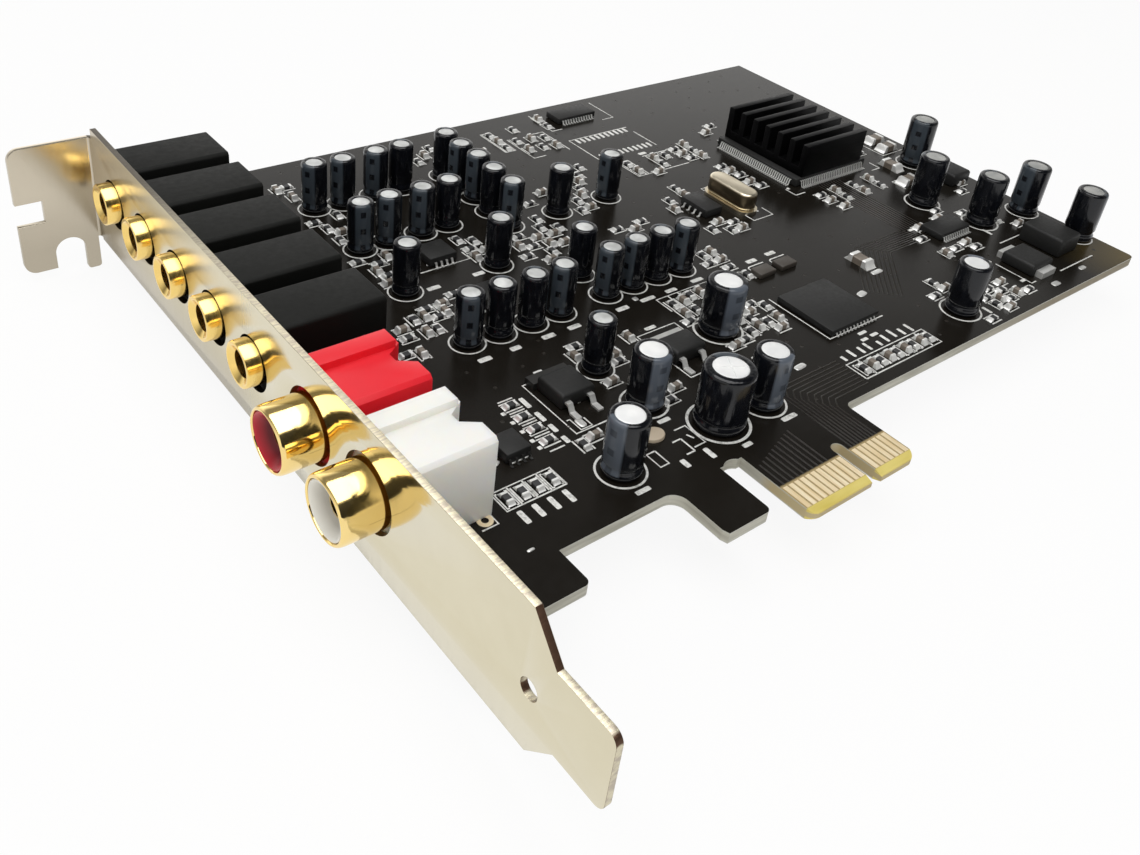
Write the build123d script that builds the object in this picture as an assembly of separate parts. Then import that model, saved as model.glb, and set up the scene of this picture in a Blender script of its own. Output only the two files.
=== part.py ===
from build123d import *
import os

# Sound card for a one-lane slot. Millimetres, +Z out of the component side of the board.
# The origin is on the tip of the edge connector, at its key notch and half way through the board.
# The bracket is at the -X end, and the connector points to -Y.

# Circuit board
board_thickness = 1.6
board_lower_edge = 11.8
board_upper_edge = 107.7
board_far_end = 88.0
board_far_corner = 1.0
board_bracket_gap = 0.3
leg_width = 14.6
leg_tip = 6.3
leg_corner = 0.8

# Locating tab between the leg and the connector
tab_near = -23.2
tab_width = 7.36
tab_tip = 3.3
tab_chamfer = 0.9
tab_fillet = 2.0
tab_corner = 0.8

# Edge connector
connector_near = -12.1
connector_far = 8.1
connector_fillet = 1.0
connector_corner = 1.5
connector_bevel = 1.2
connector_bevel_depth = 0.45
connector_slot_end = 12.3
key_width = 1.9
key_depth = 7.3
contact_pitch = 1.0
contact_width = 0.7
contact_length = 3.95
contact_thickness = 0.05
contact_first = 1.5
contact_count_near = 11
contact_count_far = 7

# Bracket sheet, its outline from the solder side edge up, and its folded flange
bracket_face = -56.6
sheet = 0.86
bracket_low_edge = -3.47
bracket_width = 18.42
flange_top = 105.87
bracket_length = 120.02
bracket_ear_drop = 1.7
tongue_width = 10.14
tongue_step = 3.7
tongue_low_length = 7.02
tongue_high_length = 8.02
diagonal_length = 3.8
tongue_corner = 1.3
tongue_hole_radius = 1.25
tongue_hole_from_tip = 11.22
tongue_hole_above_edge = 8.27
fold_radius = 0.4
flange_depth = 11.43
flange_high = 13.3
flange_fold_low = -3.2
flange_lobe_low = -7.1
prong_low = -8.45
flange_corner = 1.8
notch_near = 7.6
notch_low = 1.0
notch_high = 4.6
screw_notch_centre = 4.6
screw_notch_width = 4.42
screw_notch_end = -2.4
prong_round = 0.5

# Feet between the bracket and the board, each with one screw from below
foot_width = 5.0
foot_length = 8.0
foot_height = 5.0
foot_low_centre = 12.3
foot_jack_gap = 0.62
foot_screw_inset = 4.6
screw_radius = 1.25
screw_clearance = 0.05
screw_head_radius = 2.3
screw_head_height = 1.4
screw_above_foot = 0.3

# Headphone jacks
jack_count = 5
jack_pitch = 11.17
jack_last = 96.98
jack_axis_height = 5.6
jack_width = 8.4
jack_height = 12.0
jack_length = 14.8
jack_bevel = 0.4
jack_seat = 0.34
jack_hole_radius = 3.7
jack_hole_drop = 0.45
bushing_radius = 3.05
bushing_bore_radius = 1.8
bushing_reach = 2.0
bushing_lip = 0.55
bushing_lip_radius = 2.7
jack_bore_depth = 12.0

# Phono sockets
phono_pitch = 12.8
phono_below_jack = 14.1
phono_axis_height = 5.4
phono_width = 10.4
phono_height = 11.0
phono_length = 11.6
phono_bevel = 0.5
phono_rib_height = 1.0
phono_rib_near = 1.6
phono_rib_far = 4.2
phono_rib_length = 10.9
phono_notch_depth = 2.1
phono_notch_mouth = 4.2
phono_notch_root = 1.4
phono_hole_radius = 4.8
shell_radius = 4.15
shell_wall = 0.6
shell_reach = 5.2
shell_lip = 0.5
shell_seam = 0.3
shell_seam_end = 2.4
insert_inset = 0.5
insert_hole_radius = 1.65
insert_clearance = 0.05
socket_wall = 0.25
socket_inset = 1.6

# Solder pins under the board
pin_width = 0.9
pin_length = 1.5

# Main chip under its finned cooler
chip_centre = (62.0, 69.2)
chip_side = 20.0
chip_top = 1.5
chip_standoff = 0.1
cooler_length = 17.0
cooler_width = 19.8
cooler_base = 1.6
cooler_height = 6.1
fin_count = 7
fin_thickness = 1.3

# Crystal
crystal_centre = (36.8, 61.0)
crystal_length = 10.2
crystal_width = 3.8
crystal_height = 3.6
crystal_flange = 0.42
crystal_flange_height = 0.5

# Flat packages: low corner, size along X and Y, and top above the board
package_standoff = 0.1
memory_chip = (19.1, 23.3, 10.9, 10.8, 1.05)
small_packages = (
    (-21.4, 67.4, 4.8, 4.5, 1.5),
    (-37.6, 25.9, 3.6, 3.9, 1.5),
    (28.0, 58.4, 3.9, 6.2, 1.5),
    (59.9, 32.8, 8.5, 4.4, 1.2),
    (28.9, 99.8, 9.1, 4.0, 1.2),
    (-21.6, 54.4, 5.0, 4.2, 1.5),
)
regulators = ((-25.7, 30.5, 5.4, 5.2, 2.3), (-6.2, 29.9, 5.5, 4.1, 2.3))
regulator_tab = 1.8
regulator_tab_side = 0.5
regulator_tab_height = 1.0
regulator_lead_width = 0.8
regulator_lead_length = 2.6
regulator_lead_height = 0.6
coil_block = (74.0, 18.7, 6.2, 7.7, 3.4)
diode_block = (63.7, 17.4, 6.0, 6.0, 2.1)
diode_end_length = 1.3
diode_end_inset = 1.0
diode_end_height = 1.1
filter_block = (80.4, 44.6, 5.3, 5.3, 2.5)
block_bevel = 0.3
ceramic_blocks = ((21.7, 39.8, 3.6, 2.3, 0.9), (26.7, 39.8, 3.6, 2.3, 0.9))

# Electrolytic capacitors: can radius, height and the places of their centres
can_sides = 12
top_share = 0.8
top_thickness = 0.15
seat_gap = 0.3
small_can = (2.0, 8.3)
slim_can = (2.6, 8.6)
far_can = (2.6, 9.3)
middle_can = (3.0, 8.5)
large_can = (3.5, 8.8)
cans_upper = ((-27.7, 91.2), (-22.9, 90.8), (-16.8, 91.0), (-12.0, 91.1))
cans_middle = ((-27.7, 76.9), (-22.8, 77.0), (-16.9, 77.0), (-11.9, 77.2), (-28.0, 63.6), (-12.0, 63.4))
cans_column = ((-2.8, 91.8), (-2.9, 87.2), (-2.6, 82.6), (-3.1, 77.5), (-3.2, 72.3), (6.8, 72.3), (17.8, 72.6))
cans_lower = ((-27.5, 48.7), (-22.4, 48.5), (-17.0, 48.3), (-11.8, 48.4), (-16.0, 35.2))
cans_front = ((-2.7, 48.7), (2.4, 48.8), (7.4, 48.8), (12.5, 48.6), (-2.6, 55.2))
cans_far = ((82.6, 55.3), (69.7, 43.7), (73.1, 33.6), (84.8, 32.2), (85.0, 21.3))
cans_slim = ((-26.5, 18.0), (-15.3, 26.2), (-1.5, 18.0), (43.7, 17.7))
cans_supply = ((5.6, 33.3),)
cans_main = ((-9.6, 18.2),)

# Places that follow from the sizes above
board_top = board_thickness / 2
board_under = -board_thickness / 2
bracket_back = bracket_face + sheet
board_near = bracket_back + board_bracket_gap
leg_far = board_near + leg_width
tab_far = tab_near + tab_width
bracket_high_edge = bracket_low_edge + bracket_width
housing_front = bracket_back + jack_seat
screw_place = bracket_back + foot_screw_inset
jack_places = [jack_last - jack_pitch * i for i in reversed(range(jack_count))]
phono_red = jack_places[0] - phono_below_jack
phono_white = phono_red - phono_pitch
foot_high_centre = jack_last + (jack_width + foot_width) / 2 + foot_jack_gap
foot_centres = (foot_low_centre, foot_high_centre)
jack_axis = board_top + jack_axis_height
phono_axis = board_top + phono_axis_height


def block(xs, ys, zs):
    # A plain box, given as the low and high end along each axis.
    size = [high - low for low, high in (xs, ys, zs)]
    centre = [(high + low) / 2 for low, high in (xs, ys, zs)]
    return Pos(*centre) * Box(*size)


def save(name, parts):
    # Every solid of the node goes into one file.
    solids = [solid for part in parts for solid in part.solids()]
    shape = solids[0] if len(solids) == 1 else Compound(children=solids)
    export_step(shape, f"parts/{name}.step")


def outline(points):
    return make_face(Polyline(*points, close=True))


def round_corners(face, corners):
    # Each corner is a place in the sketch and the radius that it gets there.
    for place, radius in corners:
        nearest = face.vertices().sort_by_distance((*place, 0))[0]
        face = fillet(nearest, radius)
    return face


def turned_part(profile, axis_y, axis_z):
    # A profile of (distance along X, radius) points, turned about an axis parallel to X.
    face = outline(profile)
    return Pos(0, axis_y, axis_z) * revolve(face, Axis.X)


def make_board():
    low, high = board_lower_edge, board_upper_edge
    points = [
        (board_near, high),
        (board_near, leg_tip),
        (leg_far, leg_tip),
        (leg_far, low),
        (tab_near, low),
        (tab_near, tab_tip + tab_chamfer),
        (tab_near + tab_chamfer / 3, tab_tip),
        (tab_far, tab_tip),
        (tab_far, low),
        (connector_near, low),
        (connector_near, 0),
        (connector_far, 0),
        (connector_far, low),
        (board_far_end, low),
        (board_far_end, high),
    ]
    face = outline(points)
    face = round_corners(
        face,
        [
            ((leg_far, leg_tip), leg_corner),
            ((tab_near, low), tab_fillet),
            ((tab_far, tab_tip), tab_corner),
            ((connector_near, 0), connector_corner),
            ((connector_far, 0), connector_corner),
            ((connector_far, low), connector_fillet),
            ((board_far_end, low), board_far_corner),
        ],
    )
    slot_width = connector_near - tab_far
    slot_round = Pos((tab_far + connector_near) / 2, connector_slot_end - slot_width / 2) * Circle(slot_width / 2)
    slot_neck_high = connector_slot_end - slot_width / 2
    if slot_neck_high > low:
        slot_round += Pos((tab_far + connector_near) / 2, (slot_neck_high + low) / 2) * Rectangle(
            slot_width, slot_neck_high - low
        )
    key = Pos(0, (key_depth - key_width / 2) / 2) * Rectangle(key_width, key_depth - key_width / 2)
    key += Pos(0, key_depth - key_width / 2) * Circle(key_width / 2)
    board = Pos(0, 0, board_under) * extrude(face - slot_round - key, board_thickness)
    for side in (1, -1):
        wedge = outline(
            [
                (0, side * (board_top - connector_bevel_depth)),
                (0, side * board_top),
                (connector_bevel, side * board_top),
            ]
        )
        length = connector_far - connector_near
        board -= Pos(connector_near, 0, 0) * extrude(Plane.YZ * wedge, length)
    for centre in foot_centres:
        board -= screw_hole(centre, board_under, board_top)
    return board


def screw_hole(centre, low, high):
    return Pos(screw_place, centre, 0) * many_sided(screw_radius + screw_clearance, low, high)


def make_contacts():
    places = [-(contact_first + contact_pitch * i) for i in range(contact_count_near)]
    places += [contact_first + contact_pitch * i for i in range(contact_count_far)]
    ys = (connector_bevel, connector_bevel + contact_length)
    faces = ((board_top, board_top + contact_thickness), (board_under - contact_thickness, board_under))
    half = contact_width / 2
    return [block((x - half, x + half), ys, zs) for x in places for zs in faces]


def bracket_plate():
    # The outline is drawn in Y and Z, with its length measured down from the flange's top face.
    top, low, high = flange_top, bracket_low_edge, bracket_high_edge
    tongue_low = low + tongue_step
    tongue_high = tongue_low + tongue_width
    tip = top - bracket_length
    fold_end = top - sheet - fold_radius
    points = [
        (top - bracket_ear_drop, low),
        (tip + tongue_low_length + diagonal_length, low),
        (tip + tongue_low_length, tongue_low),
        (tip, tongue_low),
        (tip, tongue_high),
        (tip + tongue_high_length, tongue_high),
        (tip + tongue_high_length + diagonal_length, high),
        (top - bracket_ear_drop, high),
    ]
    corners = [((tip, tongue_low), tongue_corner), ((tip, tongue_high), tongue_corner)]
    face = round_corners(outline(points), corners)
    neck_length = fold_end - (top - bracket_ear_drop)
    neck = Pos(fold_end - neck_length / 2, (flange_high + flange_fold_low) / 2) * Rectangle(
        neck_length, flange_high - flange_fold_low
    )
    face += neck
    for y in jack_places:
        face -= Pos(y, jack_axis - jack_hole_drop) * Circle(jack_hole_radius)
    for y in (phono_white, phono_red):
        face -= Pos(y, phono_axis) * Circle(phono_hole_radius)
    hole = (tip + tongue_hole_from_tip, low + tongue_hole_above_edge)
    face -= Pos(*hole) * Circle(tongue_hole_radius)
    return Pos(bracket_face, 0, 0) * extrude(Plane.YZ * face, sheet)


def bracket_fold():
    # A quarter ring between the plate and the flange.
    outer = fold_radius + sheet
    ring = Circle(outer) - Circle(fold_radius)
    quarter = ring & Pos(outer / 2, outer / 2) * Rectangle(outer, outer)
    centre = (bracket_face - fold_radius, flange_top - outer)
    solid = extrude(quarter, flange_high - flange_fold_low)
    return Pos(*centre, flange_fold_low) * solid


def bracket_flange():
    # Drawn in X and Z, seen from below the flange. Depths are measured out from the plate's face.
    flat = fold_radius
    notch_half = screw_notch_width / 2
    inner_lobe = screw_notch_centre + notch_half
    prong_far = screw_notch_centre - notch_half
    notch_centre_z = screw_notch_end - notch_half
    points = [
        (flat, flange_high),
        (flange_depth, flange_high),
        (flange_depth, notch_high),
        (notch_near, notch_high),
        (notch_near, notch_low),
        (flange_depth, notch_low),
        (flange_depth, flange_lobe_low),
        (inner_lobe, flange_lobe_low),
        (inner_lobe, notch_centre_z),
        (prong_far, notch_centre_z),
        (prong_far, prong_low),
        (flat, prong_low),
    ]
    corners = [
        ((flange_depth, flange_high), flange_corner),
        ((flange_depth, flange_lobe_low), flange_corner),
        ((prong_far, prong_low), prong_round),
        ((flat, prong_low), prong_round),
    ]
    face = round_corners(outline(points), corners)
    face -= Pos(screw_notch_centre, notch_centre_z) * Circle(notch_half)
    flange = extrude(Plane.XZ * mirror(face, Plane.YZ), sheet)
    return Pos(bracket_face, flange_top, 0) * flange


def make_bracket():
    return bracket_plate() + bracket_fold() + bracket_flange()


def make_feet():
    feet = []
    for centre in foot_centres:
        ys = (centre - foot_width / 2, centre + foot_width / 2)
        flat = block((bracket_back, bracket_back + foot_length), ys, (board_top, board_top + sheet))
        wall = block((bracket_back, bracket_back + sheet), ys, (board_top, board_top + foot_height))
        feet.append(flat + wall - screw_hole(centre, board_top, board_top + sheet))
    return feet


def make_screws():
    shank = many_sided(screw_radius, board_under, board_top + sheet + screw_above_foot)
    head = many_sided(screw_head_radius, board_under - screw_head_height, board_under)
    return [Pos(screw_place, centre, 0) * (shank + head) for centre in foot_centres]


def jack_body(y):
    ys = (y - jack_width / 2, y + jack_width / 2)
    body = block((housing_front, housing_front + jack_length), ys, (board_top, board_top + jack_height))
    body = chamfer(body.edges().filter_by(Axis.X).group_by(Axis.Z)[-1], jack_bevel)
    bore = Cylinder(bushing_bore_radius, jack_bore_depth, rotation=(0, 90, 0))
    return body - Pos(housing_front + jack_bore_depth / 2, y, jack_axis) * bore


def jack_bushing(y):
    front = bracket_face - bushing_reach
    profile = [
        (housing_front, bushing_bore_radius),
        (housing_front, bushing_radius),
        (front + bushing_lip, bushing_radius),
        (front, bushing_lip_radius),
        (front, bushing_bore_radius),
    ]
    return turned_part(profile, y, jack_axis)


def jack_pins(y):
    # Five pins a jack: one near the bracket and two pairs.
    far = housing_front + jack_length
    side = jack_width / 2 - pin_width
    places = [(housing_front + 2 * pin_width, 0)]
    places += [(far - jack_length / 2, s) for s in (side, -side)]
    places += [(far - 2 * pin_width, s) for s in (side, -side)]
    return [pin(x, y + offset) for x, offset in places]


def pin(x, y):
    half = pin_width / 2
    return block((x - half, x + half), (y - half, y + half), (board_under - pin_length, board_under))


def phono_body(y):
    # A block with a raised rib along its upper side and a tapered notch in its back.
    low, high = board_top, board_top + phono_height
    back = housing_front + phono_length
    half = phono_width / 2
    body = block((housing_front, back), (y - half, y + half), (low, high))
    body = chamfer(body.edges().filter_by(Axis.X).group_by(Axis.Z)[-1], phono_bevel)
    rib_ys = (y + phono_rib_near, y + phono_rib_far)
    body += block((housing_front, housing_front + phono_rib_length), rib_ys, (low, high + phono_rib_height))
    notch = outline(
        [
            (back, y - phono_notch_mouth / 2),
            (back, y + phono_notch_mouth / 2),
            (back - phono_notch_depth, y + phono_notch_root / 2),
            (back - phono_notch_depth, y - phono_notch_root / 2),
        ]
    )
    body -= Pos(0, 0, low) * extrude(notch, phono_height)
    depth = phono_length - 2 * phono_notch_depth
    bore = Cylinder(insert_hole_radius, depth, rotation=(0, 90, 0))
    return body - Pos(housing_front + depth / 2, y, phono_axis) * bore


def phono_shell(y):
    # A thin rolled tube with a sloping lip and an open seam that ends short of the front.
    front = bracket_face - shell_reach
    inner = shell_radius - shell_wall
    profile = [
        (housing_front, inner),
        (housing_front, shell_radius),
        (front + shell_lip, shell_radius),
        (front, shell_radius - shell_lip),
        (front, inner),
    ]
    shell = turned_part(profile, y, phono_axis)
    seam_low = front + shell_seam_end
    seam_side = (y - shell_radius - shell_wall, y - inner + shell_wall)
    seam_heights = (phono_axis - shell_seam / 2, phono_axis + shell_seam / 2)
    return shell - block((seam_low, housing_front), seam_side, seam_heights)


def phono_insert(y):
    front = bracket_face - shell_reach + insert_inset
    outer = shell_radius - shell_wall - insert_clearance
    ring = RegularPolygon(outer, can_sides) - Circle(insert_hole_radius)
    return Pos(front, y, phono_axis) * extrude(Plane.YZ * ring, housing_front - front)


def phono_contact(y):
    # The springy sleeve that holds the plug's centre pin.
    front = bracket_face - shell_reach + socket_inset
    outer = insert_hole_radius - insert_clearance
    ring = RegularPolygon(outer, can_sides) - RegularPolygon(outer - socket_wall, can_sides)
    return Pos(front, y, phono_axis) * extrude(Plane.YZ * ring, housing_front - front)


def phono_pins(y):
    near = housing_front + 2 * pin_width
    far = housing_front + phono_length - 2 * phono_notch_depth
    side = phono_width / 2 - pin_width
    return [pin(near, y + side), pin(near, y - side), pin(far, y)]


def make_cooler():
    # Upright fins along X on a flat base, from one extruded section.
    x, y = chip_centre
    pitch = (cooler_width - fin_thickness) / (fin_count - 1)
    section = Pos(0, cooler_base / 2) * Rectangle(cooler_width, cooler_base)
    for i in range(fin_count):
        centre = fin_thickness / 2 - cooler_width / 2 + pitch * i
        section += Pos(centre, cooler_height / 2) * Rectangle(fin_thickness, cooler_height)
    cooler = extrude(Plane.YZ * section, cooler_length)
    return Pos(x - cooler_length / 2, y, board_top + chip_top) * cooler


def make_main_chip():
    x, y = chip_centre
    half = chip_side / 2
    zs = (board_top + chip_standoff, board_top + chip_top)
    return block((x - half, x + half), (y - half, y + half), zs)


def crystal_slab(grow, low, high):
    # A stadium along Y that follows the can's outline, grown outward for its rim.
    width = crystal_width + 2 * grow
    shape = SlotOverall(crystal_length + 2 * grow, width, rotation=90)
    return Pos(*crystal_centre, board_top + low) * extrude(shape, high - low)


def package(place, standoff=package_standoff, bevel=0):
    x, y, length, width, top = place
    body = block((x, x + length), (y, y + width), (board_top + standoff, board_top + top))
    if bevel:
        body = chamfer(body.edges().group_by(Axis.Z)[-1], bevel)
    return body


def regulator_tabs():
    tabs = []
    for x, y, length, width, top in regulators:
        xs = (x - regulator_tab_side, x + length + regulator_tab_side)
        ys = (y + width, y + width + regulator_tab)
        tabs.append(block(xs, ys, (board_top, board_top + regulator_tab_height)))
    return tabs


def regulator_leads():
    leads = []
    for x, y, length, width, top in regulators:
        for share in (1, 5):
            centre = x + length * share / 6
            xs = (centre - regulator_lead_width / 2, centre + regulator_lead_width / 2)
            leads.append(block(xs, (y - regulator_lead_length, y), (board_top, board_top + regulator_lead_height)))
    return leads


def diode_ends():
    x, y, length, width, top = diode_block
    xs = (x + diode_end_inset, x + length - diode_end_inset)
    zs = (board_top, board_top + diode_end_height)
    return [block(xs, (y - diode_end_length, y), zs), block(xs, (y + width, y + width + diode_end_length), zs)]


def many_sided(radius, low, high, sides=can_sides):
    # A round stud with few faces, for what is repeated many times or hardly seen.
    return Pos(0, 0, low) * extrude(RegularPolygon(radius, sides), high - low)


def sleeve(radius, height, place):
    return Pos(*place, 0) * many_sided(radius, board_top + seat_gap, board_top + height)


def can_top(radius, height, place):
    top = board_top + height
    return Pos(*place, 0) * many_sided(radius * top_share, top, top + top_thickness)


def save_cans(name, can, places):
    save(f"capacitor_sleeves_{name}", [sleeve(*can, place) for place in places])
    save(f"capacitor_tops_{name}", [can_top(*can, place) for place in places])


os.makedirs("parts", exist_ok=True)

save("board", [make_board()])
save("edge_contacts", make_contacts())
save("bracket", [make_bracket()])
save("bracket_feet", make_feet())
save("bracket_screws", make_screws())

for number, place in enumerate(jack_places, start=1):
    save(f"jack_body_{number}", [jack_body(place)])
    save(f"jack_bushing_{number}", [jack_bushing(place)])
save("jack_pins", [solder_pin for place in jack_places for solder_pin in jack_pins(place)])

for colour, place in (("white", phono_white), ("red", phono_red)):
    save(f"phono_body_{colour}", [phono_body(place)])
    save(f"phono_shell_{colour}", [phono_shell(place)])
    save(f"phono_insert_{colour}", [phono_insert(place)])
    save(f"phono_contact_{colour}", [phono_contact(place)])
save("phono_pins", phono_pins(phono_white) + phono_pins(phono_red))

save("heatsink", [make_cooler()])
save("main_chip", [make_main_chip()])
save("crystal_can", [crystal_slab(0, crystal_flange_height, crystal_height)])
save("crystal_rim", [crystal_slab(crystal_flange, 0, crystal_flange_height)])
save("memory_chip", [package(memory_chip)])
save("small_chips", [package(place) for place in small_packages])
save("regulator_bodies", [package(place, bevel=block_bevel) for place in regulators])
save("regulator_tabs", regulator_tabs())
save("regulator_leads", regulator_leads())
save("coil_block", [package(coil_block, bevel=block_bevel)])
save("diode_block", [package(diode_block, bevel=block_bevel)])
save("diode_ends", diode_ends())
save("filter_block", [package(filter_block, bevel=block_bevel)])
save("ceramic_blocks", [package(place, standoff=0) for place in ceramic_blocks])

save_cans("upper", small_can, cans_upper)
save_cans("middle", small_can, cans_middle)
save_cans("column", small_can, cans_column)
save_cans("lower", small_can, cans_lower)
save_cans("front", small_can, cans_front)
save_cans("far", far_can, cans_far)
save_cans("slim", slim_can, cans_slim)
save_cans("supply", middle_can, cans_supply)
save_cans("main", large_can, cans_main)
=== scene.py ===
import math
import random

import bmesh
import bpy
from mathutils import Euler, Matrix, Vector


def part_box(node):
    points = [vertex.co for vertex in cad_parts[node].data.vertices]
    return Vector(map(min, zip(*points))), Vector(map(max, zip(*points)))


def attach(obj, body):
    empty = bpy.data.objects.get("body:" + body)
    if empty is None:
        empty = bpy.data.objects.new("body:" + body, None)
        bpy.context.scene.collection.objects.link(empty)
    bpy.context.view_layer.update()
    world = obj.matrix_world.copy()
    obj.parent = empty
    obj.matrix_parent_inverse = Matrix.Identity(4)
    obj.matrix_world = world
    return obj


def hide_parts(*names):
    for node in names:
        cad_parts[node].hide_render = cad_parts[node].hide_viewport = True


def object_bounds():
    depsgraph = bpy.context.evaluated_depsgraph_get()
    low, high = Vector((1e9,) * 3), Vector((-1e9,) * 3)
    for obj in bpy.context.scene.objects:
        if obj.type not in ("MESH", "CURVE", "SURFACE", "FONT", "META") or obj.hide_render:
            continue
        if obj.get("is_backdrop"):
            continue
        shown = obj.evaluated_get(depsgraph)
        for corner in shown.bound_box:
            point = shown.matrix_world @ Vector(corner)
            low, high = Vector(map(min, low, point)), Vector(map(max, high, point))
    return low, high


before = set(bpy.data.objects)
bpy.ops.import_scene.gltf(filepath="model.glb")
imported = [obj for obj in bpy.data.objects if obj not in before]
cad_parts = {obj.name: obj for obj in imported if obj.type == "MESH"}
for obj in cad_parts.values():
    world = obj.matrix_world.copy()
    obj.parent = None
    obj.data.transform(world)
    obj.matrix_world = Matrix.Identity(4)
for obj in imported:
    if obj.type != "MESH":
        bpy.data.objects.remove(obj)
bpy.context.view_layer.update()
mm = 0.001
boardTop = 0.8      # mm, the component side
boardUnder = -0.8
edges = {
    "smoothBelow": 32,      # degrees between faces
    "bevelAbove": 35,
    "flatWithin": 1.0,
    "mergeWithin": 1e-7,    # m
}


class Signal:
    # A node's output that adds Math nodes when it is used in an expression.
    def __init__(self, maker, socket):
        self.maker = maker
        self.socket = socket

    def maths(self, operation, *values):
        sockets = {i: value for i, value in enumerate(values)}
        return self.maker.node("ShaderNodeMath", {"operation": operation}, sockets)

    def __add__(self, other):
        return self.maths("ADD", self, other)

    def __radd__(self, other):
        return self.maths("ADD", other, self)

    def __sub__(self, other):
        return self.maths("SUBTRACT", self, other)

    def __rsub__(self, other):
        return self.maths("SUBTRACT", other, self)

    def __mul__(self, other):
        return self.maths("MULTIPLY", self, other)

    def __rmul__(self, other):
        return self.maths("MULTIPLY", other, self)

    def __truediv__(self, other):
        return self.maths("DIVIDE", self, other)

    def __pow__(self, other):
        return self.maths("POWER", self, other)

    def __abs__(self):
        return self.maths("ABSOLUTE", self)

    def largest(self, other):
        return self.maths("MAXIMUM", self, other)

    def clamp(self):
        return self.maths("MINIMUM", self.maths("MAXIMUM", self, 0.0), 1.0)

    def stripes(self):
        return self.maths("FRACT", self)

    def sine(self):
        return self.maths("SINE", self)

    def ramp(self, low, high):
        # 0 at low, 1 at high, straight between them; low may be the larger one
        return ((self - low) / (high - low)).clamp()


class Maker:
    def __init__(self, tree):
        self.tree = tree

    def node(self, kind, settings=None, sockets=None, out=0):
        made = self.tree.nodes.new(kind)
        for key, value in (settings or {}).items():
            setattr(made, key, value)
        for key, value in (sockets or {}).items():
            if isinstance(value, Signal):
                self.tree.links.new(value.socket, made.inputs[key])
            elif value is not None:
                made.inputs[key].default_value = value
        return Signal(self, made.outputs[out]) if len(made.outputs) else None

    def split(self, vector):
        parts = self.node("ShaderNodeSeparateXYZ", {}, {0: vector})
        return [Signal(self, output) for output in parts.socket.node.outputs]

    def mix(self, factor, low, high):
        # the colour kind uses sockets 6 and 7 and output 2
        low = (*low, 1.0) if isinstance(low, tuple) else low
        high = (*high, 1.0) if isinstance(high, tuple) else high
        return self.node("ShaderNodeMix", {"data_type": "RGBA"}, {0: factor, 6: low, 7: high}, 2)

    def place(self):
        return self.node("ShaderNodeTexCoord", {}, {}, "Object")

    def local(self):
        # a repeated piece's own coordinates, in mm, stored on its points
        return self.node("ShaderNodeAttribute", {"attribute_name": "ownPlace"}, {}, "Vector")

    def normal(self):
        return self.node("ShaderNodeNewGeometry", {}, {}, "Normal")

    def grain(self, scale, detail=2.0, stretch=None, roughness=0.5, where=None):
        vector = where or self.place()
        if stretch:
            vector = self.node("ShaderNodeVectorMath", {"operation": "MULTIPLY"}, {0: vector, 1: stretch})
        sockets = {"Vector": vector, "Scale": scale, "Detail": detail, "Roughness": roughness}
        return self.node("ShaderNodeTexNoise", {}, sockets, 0)


def startMaterial(name):
    material = bpy.data.materials.new(name)
    material.use_nodes = True
    material.node_tree.nodes.clear()
    return material, Maker(material.node_tree)


def gloss(level):
    # the values of a lacquer or a plastic with this much mirror shine
    return {"IOR": 1.5, "Specular IOR Level": level}


def finishMaterial(maker, colour, roughness=0.5, metallic=0.0, height=None, depth=0.02, steady=None):
    # steady holds the values that are the same all over the surface; depth is in mm
    sockets = {"Base Color": colour if isinstance(colour, Signal) else (*colour, 1.0)}
    sockets["Roughness"] = roughness
    sockets["Metallic"] = metallic
    if height is not None:
        bump = {"Strength": 1.0, "Distance": depth * mm, "Height": height}
        sockets["Normal"] = maker.node("ShaderNodeBump", {}, bump)
    sockets.update(steady or {})
    shader = maker.node("ShaderNodeBsdfPrincipled", {}, sockets)
    maker.node("ShaderNodeOutputMaterial", {}, {"Surface": shader})


def makeObject(name, mesh, material=None):
    thing = bpy.data.objects.new(name, mesh)
    bpy.context.scene.collection.objects.link(thing)
    if material:
        mesh.materials.clear()
        mesh.materials.append(material)
    return thing


def meshFrom(name, points, faces, lines=()):
    mesh = bpy.data.meshes.new(name)
    mesh.from_pydata([Vector(point) * mm for point in points], list(lines), faces)
    return mesh


def soften(mesh):
    mesh.shade_smooth()
    mesh.set_sharp_from_angle(angle=math.radians(edges["smoothBelow"]))


def outward(mesh):
    work = bmesh.new()
    work.from_mesh(mesh)
    bmesh.ops.recalc_face_normals(work, faces=work.faces)
    work.to_mesh(mesh)
    work.free()


def settled(thing, name, material=None):
    # the object with its modifiers applied, as a plain mesh object at the origin
    graph = bpy.context.evaluated_depsgraph_get()
    source = thing.evaluated_get(graph)
    mesh = bpy.data.meshes.new_from_object(source, preserve_all_data_layers=True, depsgraph=graph)
    mesh.name = name
    bpy.data.objects.remove(thing)
    return makeObject(name, mesh, material)


def finishPiece(piece, slot, *nodes):
    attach(piece, "root")
    if nodes:
        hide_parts(*nodes)
    return piece


def lathe(profile, sides):
    # a profile of (radius, height) turned round the height; a radius of 0 is a single point
    points, rings = [], []
    for radius, height in profile:
        if radius == 0:
            rings.append([len(points)])
            points.append((0, 0, height))
            continue
        ring = []
        for i in range(sides):
            angle = 2 * math.pi * i / sides
            ring.append(len(points))
            points.append((radius * math.cos(angle), radius * math.sin(angle), height))
        rings.append(ring)
    faces = []
    for low, high in zip(rings, rings[1:]):
        for i in range(sides):
            a, b = low[i % len(low)], low[(i + 1) % len(low)]
            c, d = high[(i + 1) % len(high)], high[i % len(high)]
            if len(low) == 1:
                faces.append([a, c, d])
            elif len(high) == 1:
                faces.append([a, b, c])
            else:
                faces.append([a, b, c, d])
    return points, faces


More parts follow.
